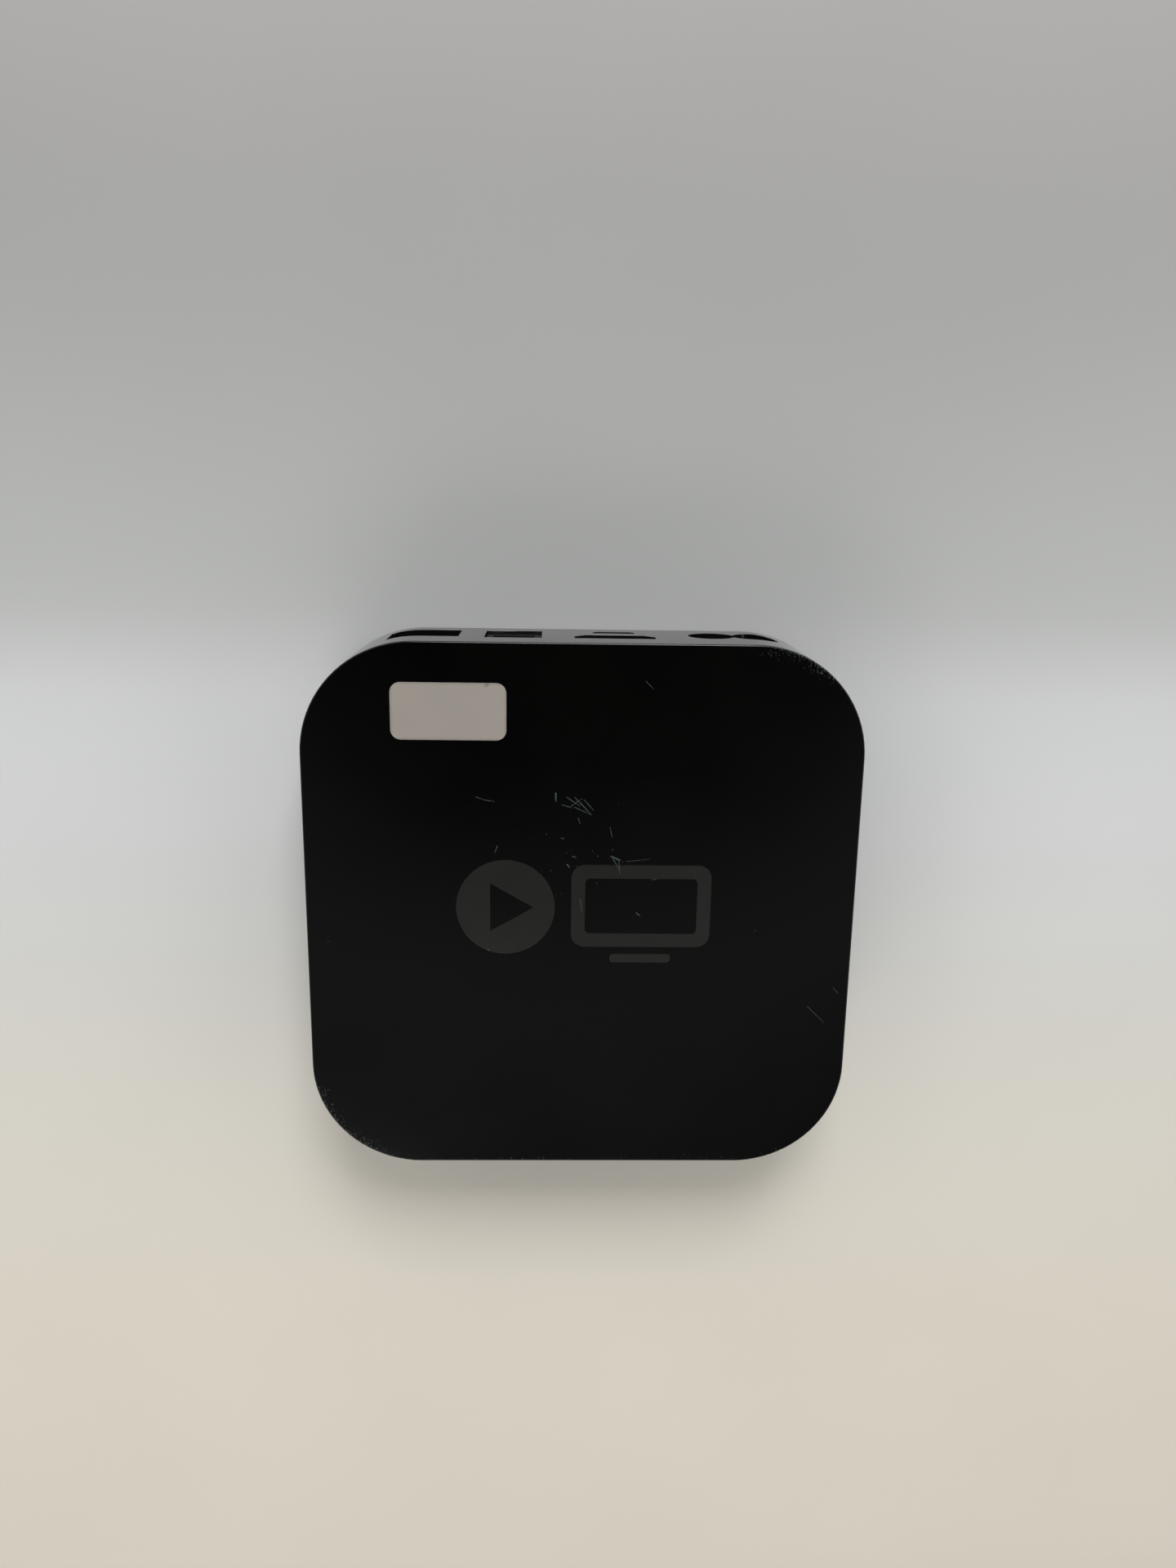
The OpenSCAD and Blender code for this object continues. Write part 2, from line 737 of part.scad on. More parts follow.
// Taped coils around the centre leg, between two bobbin flanges.
module transformer_winding() {
    z = supply_top + 1.5 + core_h / 2;
    color("#d7b431") translate([core_c[0], core_c[1], z]) {
        rotate([90, 0, 90]) linear_extrude(core_x - 7.4, center = true) difference() {
            rounded_rect(core_y + 7, leg_h + 5, 2);
            square([core_y + 0.2, leg_h + 0.1], center = true);
        }
        for (s = [-1, 1]) translate([0, s * (core_y / 2 + 1.7), (supply_top - z - leg_h / 2 - 2) / 2])
            cube([core_x - 7.6, 1.4, z - supply_top - leg_h / 2 - 2], center = true);
    }
}

// A can lying along Y, with its rolled rim and vent end.
module bulk_capacitor() {
    color("#20305a") translate([38.4, -22, supply_top + 6.4]) rotate([-90, 0, 0]) {
        cylinder(h = 20, r = 6.2);
        translate([0, 0, 20 - eps]) cylinder(h = 0.6, r1 = 6.2, r2 = 5.4);
    }
}

module output_capacitors() {
    color("#26364f") for (p = [[24.6, 5.2], [19.4, 16], [27.4, 15.6]])
        translate([p[0], p[1], supply_top]) {
            cylinder(h = 11.4, r = 3.8);
            translate([0, 0, 11.4 - eps]) cylinder(h = 0.5, r1 = 3.8, r2 = 3.2);
        }
}

// A ferrite ring with its turns of wire.
module mains_choke() {
    c = [38, 5.4, supply_top + 6.6];
    color("#6b4a2a") translate(c) rotate([90, 0, 0]) {
        difference() {
            cylinder(h = 4, r = 5.6, center = true);
            cylinder(h = 6, r = 2.6, center = true);
        }
        for (i = [0:11]) if (i % 6 != 0) rotate(30 * i) difference() {
            translate([4.1, 0, 0]) cube([4.8, 0.9, 5.2], center = true);
            translate([4.1, 0, 0]) cube([2.98, 2, 3.98], center = true);
        }
    }
    color("#6b4a2a")
        block([c[0] - 3, c[0] + 3], [c[1] - 1.9, c[1] + 1.9], [supply_top, supply_top + 1.6]);
}

module filter_capacitor() {
    color("#c9a227") translate([38, 15, supply_top + 5.5]) linear_extrude(11, center = true)
        rounded_rect(13, 6.4, 0.8);
}

module fuse() {
    color("#5a2f1c") translate([31.5, 25.4, supply_top]) {
        cylinder(h = 6.6, r = 3.4);
        translate([0, 0, 6.6 - eps]) cylinder(h = 0.6, r1 = 3.4, r2 = 2.7);
    }
}

module bridge_rectifier() {
    color("#202123") block([30.2, 36.8], [-35.4, -27], [supply_top, supply_top + 2.6]);
}

// A transistor on a folded aluminium cooling plate.
module switch_transistor() {
    color("#a9adb1") {
        block([22, 29.6], [-27.4, -26.2], [supply_top, supply_top + 13]);
        block([22, 29.6], [-26.4, -22], [supply_top + 11.8, supply_top + 13]);
        block([23, 28.6], [-29.6, -27.4 + eps], [supply_top + 2.6, supply_top + 10]);
        for (x = [-1.8, 0, 1.8]) block([25.5 + x, 26.1 + x], [-28.8, -28.3], [supply_top, supply_top + 2.7]);
    }
}

module supply_header() {
    color("#e9e4d6") difference() {
        block([14.8, 19.2], [1, 9.8], [supply_top, supply_top + 4.4]);
        block([15.6, 18.4], [1.8, 9], [supply_top + 1.2, supply_top + 6]);
    }
}

// Four insulated wires from the supply header up to the logic board's header.
module power_cable() {
    color("#b33a32") for (i = [0:3]) wire(smoothed(smoothed([
        [17, 2.75 + 1.8 * i, supply_top + 1.3], [17, 2.75 + 1.8 * i, 13.6], [15.6, 2.75 + 1.8 * i, 16.6],
        [11.6, 2.75 + 1.8 * i, 16.8], [9.5, 2.75 + 1.8 * i, 15.4], [9.5, 2.75 + 1.8 * i, board_top + 1.1]
    ])), 0.65, [0, 1, 0]);
}

// ---------- front board ----------

module led_board() color("#1f4a33") block(led_board_x, led_board_y, led_board_z);

// The receiver's square body with its round lens.
module ir_receiver() {
    color("#2a1d2a") {
        block([17, 23.4], [-44.6, led_board_y[0]], [front_z - 2.8, front_z + 2.8]);
        translate([20.2, -44.6 + eps, front_z]) rotate([90, 0, 0]) cylinder(h = 1.2, r1 = 2.2, r2 = 1.5);
    }
}

module status_led() {
    color("#f1f0ea") block([led_x - 1, led_x + 1], [-42.7, led_board_y[0]], [front_z - 1.3, front_z + 1.3]);
}

module light_pipe() {
    color("#dfe7ea") {
        translate([led_x, -44.2, front_z]) rotate([90, 0, 0]) cylinder(h = 2.5, r = 0.9);
        translate([led_x, -42.8, front_z]) rotate([90, 0, 0]) cylinder(h = 1.4 + eps, r = 1.5);
    }
}

// A flat flex from the back of the front board down to the logic board.
module front_ribbon() {
    color("#c98a2b") along_y(led_board_y[1], led_board_y[1] + 2.4) polygon(strip(
        smoothed(smoothed([
            [6, board_top + 0.02], [11.4, board_top + 0.1], [13.4, 12.6], [16, 12.9], [22, 12.6]
        ])), 0.3
    ));
}

top_housing();
emblem_inlay();
blank_label();
base_cover();
base_pad();
insulator_sheet();
heat_spreader();
spreader_pad();
spreader_screws();
logic_board();
board_screws();
processor();
processor_pad();
memory_chip();
processor_shield();
radio_module();
board_capacitors();
board_inductors();
network_transformer();
logic_power_header();
antenna_left();
antenna_right();
antenna_cable_left();
antenna_cable_right();
ethernet_jack();
ethernet_shield();
ethernet_contacts();
optical_jack();
optical_emitter();
optical_shutter();
shutter_pin();
shutter_spring();
video_shell();
video_tongue();
video_contacts();
service_shell();
service_tongue();
service_contacts();
inlet_body();
inlet_pins();
supply_board();
supply_screws();
transformer_core();
transformer_winding();
bulk_capacitor();
output_capacitors();
mains_choke();
filter_capacitor();
fuse();
bridge_rectifier();
switch_transistor();
supply_header();
power_cable();
led_board();
ir_receiver();
status_led();
light_pipe();
front_ribbon();
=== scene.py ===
# %% [markdown]
# # A streaming media player, from the frame outwards
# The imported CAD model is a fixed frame: it says where every part is, in metres, with Z up,
# the sockets towards +Y and the origin under the middle of the base. This script dresses that
# frame. It sets the camera, the floor and the lights first, because every finish is judged
# under them, then makes the finishes, and then makes the pieces one after another.

# %% Load the frame
import math

import bmesh
import bpy
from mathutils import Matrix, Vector


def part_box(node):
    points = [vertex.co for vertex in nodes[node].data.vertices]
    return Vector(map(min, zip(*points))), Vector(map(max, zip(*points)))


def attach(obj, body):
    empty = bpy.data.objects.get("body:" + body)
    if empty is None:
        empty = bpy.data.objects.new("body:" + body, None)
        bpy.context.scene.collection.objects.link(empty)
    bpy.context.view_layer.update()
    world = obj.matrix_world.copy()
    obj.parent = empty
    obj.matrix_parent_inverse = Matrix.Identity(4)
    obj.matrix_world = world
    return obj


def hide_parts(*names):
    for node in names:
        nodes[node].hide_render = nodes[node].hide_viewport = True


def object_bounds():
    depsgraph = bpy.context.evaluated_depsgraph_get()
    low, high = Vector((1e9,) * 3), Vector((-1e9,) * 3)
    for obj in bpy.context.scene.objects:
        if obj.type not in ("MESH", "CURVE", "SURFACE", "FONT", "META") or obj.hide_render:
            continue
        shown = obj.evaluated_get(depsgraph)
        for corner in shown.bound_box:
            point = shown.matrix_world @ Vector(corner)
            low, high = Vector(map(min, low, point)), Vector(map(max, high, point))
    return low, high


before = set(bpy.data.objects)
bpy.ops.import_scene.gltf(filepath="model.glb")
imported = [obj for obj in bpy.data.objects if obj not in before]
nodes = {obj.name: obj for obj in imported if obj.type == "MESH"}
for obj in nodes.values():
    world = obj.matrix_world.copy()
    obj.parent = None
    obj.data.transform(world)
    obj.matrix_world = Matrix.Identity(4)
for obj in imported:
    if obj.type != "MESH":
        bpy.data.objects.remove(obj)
cad_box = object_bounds()
MM = 0.001
print("CAD nodes:", len(nodes), "box:", [round(v / MM, 1) for v in cad_box[1] - cad_box[0]], "mm")

# %% [markdown]
# ## Camera
# The player is seen from above, leaning a little towards its sockets, so that the whole top
# face shows and the rear wall with its openings is a narrow band. A lens of 28 mm close to
# the object gives that strong perspective: the near edge looks clearly wider than the far one.

# %% Camera
def at(x, y, z):
    """A point given in millimetres."""
    return Vector((x, y, z)) * MM


camera = bpy.data.objects.new("camera", bpy.data.cameras.new("camera"))
camera.location = at(-5.42, 76.5, 229.74)
camera.rotation_euler = [math.radians(a) for a in (-14.16, -1.49, 0.9)]
camera.data.lens = 28.125
camera.data.sensor_width = 36
camera.data.clip_start, camera.data.clip_end = 0.005, 50
bpy.context.scene.collection.objects.link(camera)
bpy.context.scene.camera = camera
bpy.context.scene.view_settings.view_transform = "Standard"
print("camera", round(camera.location.length, 3), "m from the origin")

# %% [markdown]
# ## Wiring nodes by hand
# Every finish below is a node tree. Typing each node, socket and link in full would bury the
# idea of the finish, so this small class adds one node per call and hands back its output,
# which can go straight into the next call. It works on a material, a group or the world.

# %% The wiring class
class Wiring:
    """Adds nodes to one tree. Each call returns the new node's output."""

    def __init__(self, tree):
        self.tree = tree

    def node(self, kind, sockets=None, output=0, **settings):
        made = self.tree.nodes.new(kind)
        for name, value in settings.items():
            setattr(made, name, value)
        for key, value in (sockets or {}).items():
            self.feed(made.inputs[key], value)
        return made.outputs[output]

    def feed(self, socket, value):
        if isinstance(value, bpy.types.NodeSocket):
            self.tree.links.new(value, socket)
        else:
            socket.default_value = value

    def math(self, operation, *values):
        return self.node("ShaderNodeMath", dict(enumerate(values)), operation=operation)

    def place(self):
        """The point on the piece, in metres, in the row frame."""
        return self.node("ShaderNodeTexCoord", output="Object")

    def stretched(self, place, x=1.0, y=1.0, z=1.0):
        return self.node("ShaderNodeMapping", {"Vector": place, "Scale": (x, y, z)})

    def noise(self, place, size, detail=2.0, roughness=0.5):
        """Soft noise from 0 to 1 whose blobs are about size metres across."""
        sockets = {"Vector": place, "Scale": 1 / size, "Detail": detail, "Roughness": roughness}
        return self.node("ShaderNodeTexNoise", sockets)

    def span(self, value, low, high, to_low=0.0, to_high=1.0):
        """Stretches low..high to to_low..to_high and stops at both ends."""
        return self.node("ShaderNodeMapRange", dict(enumerate((value, low, high, to_low, to_high))))

    def blend(self, share, a, b):
        """Colour a where share is 0 and b where it is 1."""
        made = self.tree.nodes.new("ShaderNodeMix")
        made.data_type = "RGBA"
        for index, value in ((0, share), (6, a), (7, b)):
            self.feed(made.inputs[index], value)
        return made.outputs[2]

    def ramp(self, value, stops, **settings):
        """A colour that follows value through a list of (value, colour) stops in rising order."""
        made = self.tree.nodes.new("ShaderNodeValToRGB")
        elements = made.color_ramp.elements
        elements.remove(elements[1])
        elements[0].position, elements[0].color = stops[0]
        for position, colour in stops[1:]:
            elements.new(position).color = colour
        for name, setting in settings.items():
            setattr(made.color_ramp, name, setting)
        self.feed(made.inputs[0], value)
        return made.outputs[0]

    def bump(self, height, depth, before=None):
        """A normal whose relief is depth metres where height goes from 0 to 1."""
        sockets = {"Height": height, "Distance": depth}
        if before is not None:
            sockets["Normal"] = before
        return self.node("ShaderNodeBump", sockets)


def tone(red, green=None, blue=None, alpha=1.0):
    """A colour; one number makes a grey."""
    return (red, red if green is None else green, red if blue is None else blue, alpha)


def scaled(colour, by):
    return tone(*[min(1.0, c * by) for c in colour[:3]])


# %% [markdown]
# ## Floor, sky and light
# The floor is a pale sweep. A colour ramp along Y makes it a little greyer behind the object
# and warmer in front of it; the grey behind is painted shade, standing in for the light
# falling off there. The glossy rear wall mirrors the strip of floor just behind it, so that
# painted grey decides how bright the wall looks. One soft lamp behind the sockets throws the
# short shadow in front of the player, and an even sky fills it.

# %% Floor
SWEEP_PAINTED_SHADE = [
    # millimetres along Y, colour of the paper there, greyer behind the object as painted shade
    (-165, (0.75, 0.69, 0.60)),
    (-90, (0.80, 0.75, 0.65)),
    (-40, (0.74, 0.72, 0.65)),
    (0, (0.70, 0.71, 0.71)),
    (35, (0.70, 0.71, 0.71)),
    (52, (0.49, 0.50, 0.49)),
    (76, (0.48, 0.49, 0.48)),
    (115, (0.37, 0.37, 0.36)),
    (150, (0.42, 0.41, 0.40)),
]
SWEEP_REACH = 340  # millimetres along Y that the ramp covers


def sweep_painted_shade_finish():
    material = bpy.data.materials.new("sweep_paper")
    material.use_nodes = True
    w = Wiring(material.node_tree)
    shader = material.node_tree.nodes["Principled BSDF"]
    place = w.place()
    along = w.node("ShaderNodeSeparateXYZ", {0: place}, output=1)
    half = SWEEP_REACH / 2 * MM
    stops = [(y / SWEEP_REACH + 0.5, tone(*colour)) for y, colour in SWEEP_PAINTED_SHADE]
    # painted shade: the ramp greys the paper behind the object, standing in for the light falling off there
    paper = w.ramp(w.span(along, -half, half), stops, interpolation="B_SPLINE")
    cloud = w.span(w.noise(place, 60 * MM, 3), 0.3, 0.7, 0.985, 1.015)
    w.feed(shader.inputs["Base Color"], w.node(
        "ShaderNodeVectorMath", {0: paper, 1: cloud}, operation="MULTIPLY"))
    shader.inputs["Roughness"].default_value = 0.75
    shader.inputs["Specular IOR Level"].default_value = 0.2
    return material


bm = bmesh.new()
bmesh.ops.create_circle(bm, cap_ends=True, segments=96, radius=6)
mesh = bpy.data.meshes.new("floor")
bm.to_mesh(mesh)
bm.free()
floor = bpy.data.objects.new("floor", mesh)
floor.data.materials.append(sweep_painted_shade_finish())
bpy.context.scene.collection.objects.link(floor)
print("floor of", len(SWEEP_PAINTED_SHADE), "tones")

# %% Sky and lamps
SKY = [
    # degrees from straight overhead, brightness
    (66, 0.90),
    (52, 0.74),
    (42, 0.16),
    (35, 0.0),
    (30, 0.07),
    (25, 0.21),
    (20, 0.12),
    (15, 0.01),
    (9, 0.0),
]


def studio_sky():
    """Bright near the horizon and dark overhead, where whoever looks down blocks the light."""
    sky = bpy.data.worlds.new("studio")
    sky.use_nodes = True
    w = Wiring(sky.node_tree)
    direction = w.node("ShaderNodeTexCoord", output="Generated")
    up = w.node("ShaderNodeSeparateXYZ", {0: direction}, output=2)
    stops = [(math.cos(math.radians(angle)), tone(light)) for angle, light in SKY]
    w.feed(w.tree.nodes["Background"].inputs[0], w.ramp(up, stops))
    return sky


bpy.context.scene.world = studio_sky()


def softbox(name, place, aim, size, power, colour=(1, 1, 1)):
    lamp = bpy.data.lights.new(name, "AREA")
    lamp.size, lamp.energy, lamp.color = size, power, colour
    holder = bpy.data.objects.new(name, lamp)
    holder.location = place
    holder.rotation_euler = (place - aim).to_track_quat("Z", "Y").to_euler()
    bpy.context.scene.collection.objects.link(holder)
    print(name, power, "W,", round((place - aim).length, 2), "m away")


softbox("rear_softbox", at(60, 700, 620), at(0, 0, 0), 0.36, 5.0)
softbox("front_softbox", at(-250, -900, 500), at(0, 0, 0), 0.8, 3.4, (1.0, 0.98, 0.95))

# %% [markdown]
# ## Scratches as measured strokes
# A used player has a handful of scratches, and they aren't noise: each has two ends and a
# width. A group called stroke measures the distance from the shading point to one line
# segment, and a second group gathers all of them, so the top face and the emblem share the
# same scratches. Noise frays each stroke along its length.

# %% The stroke group
def new_group(name, inputs, outputs):
    group = bpy.data.node_groups.new(name, "ShaderNodeTree")
    for label, kind in inputs:
        group.interface.new_socket(label, in_out="INPUT", socket_type=kind)
    for label, kind in outputs:
        group.interface.new_socket(label, in_out="OUTPUT", socket_type=kind)
    w = Wiring(group)
    w.ends = group.nodes.new("NodeGroupInput"), group.nodes.new("NodeGroupOutput")
    return group, w


def make_stroke_group():
    """Mask of one scratch: 1 on the segment from Start to End, 0 beyond half of Width."""
    group, w = new_group(
        "stroke",
        [("Place", "NodeSocketVector"), ("Start", "NodeSocketVector"), ("Run", "NodeSocketVector"),
         ("Width", "NodeSocketFloat")],
        [("Mask", "NodeSocketFloat")],
    )
    given, result = w.ends
    place, start, run, width = given.outputs[:4]
    from_start = w.node("ShaderNodeVectorMath", {0: place, 1: start}, operation="SUBTRACT")
    along = w.node("ShaderNodeVectorMath", {0: from_start, 1: run}, output=1, operation="DOT_PRODUCT")
    length = w.node("ShaderNodeVectorMath", {0: run, 1: run}, output=1, operation="DOT_PRODUCT")
    share = w.node("ShaderNodeMath", {0: along, 1: length}, operation="DIVIDE", use_clamp=True)
    nearest = w.node("ShaderNodeVectorMath", {0: run, "Scale": share}, operation="SCALE")
    off = w.node("ShaderNodeVectorMath", {0: from_start, 1: nearest}, operation="SUBTRACT")
    distance = w.node("ShaderNodeVectorMath", {0: off}, output=1, operation="LENGTH")
    taper = w.math("MULTIPLY", width, w.span(share, 0.55, 1.0, 0.5, 0.22))
    w.feed(result.inputs[0], w.math("SUBTRACT", 1.0, w.node(
        "ShaderNodeMath", {0: distance, 1: taper}, operation="DIVIDE", use_clamp=True)))
    return group


STROKES = [
    # start, end and width in millimetres, seen from above: the tangle above the emblem
    ((-3.7, 20.6), (-1.9, 20.1), 0.20),
    ((-2.9, 22.0), (-0.5, 20.4), 0.20),
    ((-2.1, 20.4), (-0.2, 21.8), 0.18),
    ((-1.5, 22.0), (1.5, 18.8), 0.20),
    ((-0.5, 21.0), (1.3, 19.0), 0.26),
    ((0.1, 21.6), (1.9, 19.6), 0.20),
    ((-1.5, 20.2), (1.3, 18.9), 0.20),
    ((-4.8, 22.7), (-4.8, 21.2), 0.42),
    # single scratches across the face
    ((-18.7, 21.9), (-17.3, 21.4), 0.16),
    ((-17.3, 21.4), (-15.5, 21.1), 0.18),
    ((10.4, 42.6), (11.8, 41.2), 0.15),
    ((41.7, -17.3), (45.0, -20.6), 0.14),
    ((46.1, -13.5), (47.2, -14.7), 0.12),
    ((-15.0, 13.0), (-15.5, 11.7), 0.20),
    # nicks between the tangle and the emblem
    ((4.8, 16.5), (5.2, 14.7), 0.16),
    ((-0.8, 18.2), (-0.5, 17.1), 0.18),
    ((-3.8, 14.6), (-3.3, 14.4), 0.24),
    ((-1.7, 11.2), (-1.1, 11.0), 0.28),
    ((-2.7, 9.7), (-2.2, 9.1), 0.28),
    ((5.1, 11.2), (6.8, 10.5), 0.46),
    ((6.4, 10.6), (6.7, 8.0), 0.20),
    ((7.8, 10.3), (11.9, 10.8), 0.12),
    ((5.4, 10.8), (6.5, 9.0), 0.22),
    ((9.8, 0.7), (10.5, 0.1), 0.28),
    ((12.4, 6.9), (13.4, 7.1), 0.16),
    ((-0.3, 3.2), (0.1, 0.7), 0.20),
    ((-16.7, -6.5), (-16.5, -6.7), 0.40),
]


def make_scratch_group(stroke):
    """Every stroke of the list in one mask, frayed by noise."""
    group, w = new_group("scratches", [("Place", "NodeSocketVector")], [("Mask", "NodeSocketFloat")])
    given, result = w.ends
    flat = w.node("ShaderNodeVectorMath", {0: given.outputs[0], 1: (1, 1, 0)}, operation="MULTIPLY")
    total = None
    for (x0, y0), (x1, y1), width in STROKES:
        made = group.nodes.new("ShaderNodeGroup")
        made.node_tree = stroke
        w.feed(made.inputs["Place"], flat)
        made.inputs["Start"].default_value = at(x0, y0, 0)
        made.inputs["Run"].default_value = at(x1 - x0, y1 - y0, 0)
        made.inputs["Width"].default_value = width * MM
        total = made.outputs[0] if total is None else w.math("MAXIMUM", total, made.outputs[0])
    fray = w.span(w.noise(flat, 0.25 * MM, 2), 0.35, 0.6, 0.25, 1.0)
    w.feed(result.inputs[0], w.math("MULTIPLY", w.span(total, 0.1, 0.55), fray))
    return group


scratches = make_scratch_group(make_stroke_group())
print("scratches:", len(STROKES))

# %% [markdown]
# ## Wear along the rim
# The edge around the top face is where the player meets other things, so it is scuffed there.
# The distance to a rounded square is one short formula: fold the point into one quadrant,
# measure from the corner's centre and take off the corner's radius. Wear is noise kept to a
# narrow band inside that distance, and only along the stretches that really rub.

# %% The rim group
CASE_HALF = cad_box[1].x
CORNER_R = 19.8 * MM
CORNER_AT = CASE_HALF - CORNER_R


def make_rim_group():
    """How worn the rim is, from 0 to 1: grit near the case's outline, where it rubs."""
    group, w = new_group("rim", [("Place", "NodeSocketVector")], [("Worn", "NodeSocketFloat")])
    given, result = w.ends
    place = given.outputs[0]
    folded = w.node("ShaderNodeVectorMath", {0: place}, operation="ABSOLUTE")
    from_corner = w.node(
        "ShaderNodeVectorMath", {0: folded, 1: (CORNER_AT, CORNER_AT, 1)}, operation="SUBTRACT")
    outside = w.node("ShaderNodeVectorMath", {0: from_corner, 1: (0, 0, 0)}, operation="MAXIMUM")
    reach = w.node("ShaderNodeVectorMath", {0: outside}, output=1, operation="LENGTH")
    inside = w.math("SUBTRACT", CORNER_R, reach)
    parts = w.tree.nodes.new("ShaderNodeSeparateXYZ")
    w.feed(parts.inputs[0], place)
    x, y = parts.outputs[0], parts.outputs[1]
    front_left = w.math("MULTIPLY", w.span(x, -20 * MM, -36 * MM), w.span(y, -26 * MM, -34 * MM))
    front = w.math("MULTIPLY", w.span(y, -44 * MM, -46 * MM), 0.75)
    right = w.math("MULTIPLY", w.span(x, 44 * MM, 46 * MM), w.span(y, 30 * MM, 24 * MM, 0.0, 0.5))
    rear_right = w.math("MULTIPLY", w.span(x, 24 * MM, 32 * MM), w.span(y, 36 * MM, 44 * MM))
    region = front_left
    for other in (front, right, rear_right):
        region = w.math("MAXIMUM", region, other)
    chips = w.noise(place, 0.5 * MM, 4, 0.7)
    marks = w.noise(w.stretched(place, 3.0, 0.7, 1.0), 0.7 * MM, 3, 0.65)
    grit = w.math("MAXIMUM", chips, marks)
    grit = w.math("ADD", grit, w.span(inside, 2.2 * MM, 0.2 * MM, 0.0, 0.08))
    bar = w.math("SUBTRACT", 0.92, w.math("MULTIPLY", region, 0.27))
    worn = w.span(w.math("SUBTRACT", grit, bar), 0.0, 0.05)
    w.feed(result.inputs[0], w.math("MULTIPLY", worn, w.span(inside, 3.0 * MM, 1.8 * MM)))
    return group


rim = make_rim_group()

# %% [markdown]
# ## Finishes for moulded plastic, sheet metal and the rest
# Most parts of an electronic device are one of a few families. Each family is one function:
# a moulding has blotches, a fine spark-eroded grain and some unevenness in its gloss; a metal
# sheet is brushed one way and stained in patches. The numbers that differ are arguments.

# %% Families of finishes
class Finish(Wiring):
    """A material with its Principled shader, and the wiring to feed it."""

    def __init__(self, name, **flat):
        self.material = bpy.data.materials.new(name + "_finish")
        self.material.use_nodes = True
        super().__init__(self.material.node_tree)
        self.shader = self.tree.nodes["Principled BSDF"]
        for socket, value in flat.items():
            self.shader.inputs[socket.replace("_", " ")].default_value = value

    def set(self, socket, value):
        self.feed(self.shader.inputs[socket], value)

    def group(self, tree, place):
        made = self.tree.nodes.new("ShaderNodeGroup")
        made.node_tree = tree
        self.feed(made.inputs[0], place)
        return made.outputs


def moulded(name, colour, rough, grain=0.3, depth=0.004, vary=0.25, **flat):
    """Moulded plastic, rubber or resin. grain and depth are in millimetres."""
    f = Finish(name, **flat)
    place = f.place()
    blotch = f.span(f.noise(place, 7 * MM, 3), 0.3, 0.7)
    fine = f.noise(place, grain * MM, 3, 0.6)
    f.set("Base Color", f.blend(blotch, scaled(colour, 1 - vary), scaled(colour, 1 + vary)))
    uneven = f.math("ADD", blotch, fine)
    f.set("Roughness", f.span(uneven, 0.5, 1.6, rough * 0.85, min(1.0, rough * 1.12)))
    f.set("Normal", f.bump(fine, depth * MM))
    return f.material


def metal(name, colour, rough, brushed=(1.0, 18.0, 18.0), stain=0.3, **flat):
    """Metal brushed along the axis whose number is small, with darker stains."""
    f = Finish(name, Metallic=1.0, **flat)
    place = f.place()
    lines = f.noise(f.stretched(place, *brushed), 1.6 * MM, 4, 0.6)
    patch = f.span(f.noise(place, 4 * MM, 4, 0.6), 0.45, 0.75)
    f.set("Base Color", f.blend(patch, colour, scaled(colour, 1 - stain)))
    f.set("Roughness", f.span(f.math("ADD", lines, patch), 0.4, 1.6, rough * 0.75, min(1.0, rough * 1.5)))
    f.set("Normal", f.bump(lines, 0.0015 * MM))
    return f.material


print("families: moulded, metal")

# %% [markdown]
# ## The case: a matt face and polished walls
# The case is one black moulding, yet its tool was etched under the top face and polished
# everywhere else. So there are two finishes on one piece. The face has a fine even grain, a
# little dust and all the scratches, and its black is painted ten times darker than the wall's
# as painted shade. The walls are mirror-like and show only hairlines and a breath of haze.
# Both share the worn rim.

# %% Case finishes
# painted shade: the face's black is ten times darker than the wall's black of the same moulding, so the face
# reads as in shade
FACE_BLACK_PAINTED_SHADE = tone(0.0004, 0.0004, 0.0004)
BARE_SCRATCH = tone(0.085, 0.110, 0.110)
SCUFF = tone(0.060, 0.070, 0.070)
NICKED = at(0, 12, 23)  # middle of the most scratched part of the face


def dust(w, place, cell, size, share):
    """Sparse specks: about share of the cells of a Voronoi pattern hold one of size metres."""
    cells = w.tree.nodes.new("ShaderNodeTexVoronoi")
    w.feed(cells.inputs["Vector"], place)
    cells.inputs["Scale"].default_value = 1 / cell
    pick = w.node("ShaderNodeSeparateColor", {0: cells.outputs["Color"]})
    near = w.span(cells.outputs["Distance"], size / cell, 0.4 * size / cell)
    return w.math("MULTIPLY", near, w.span(pick, 1 - share, 1 - share * 0.7))


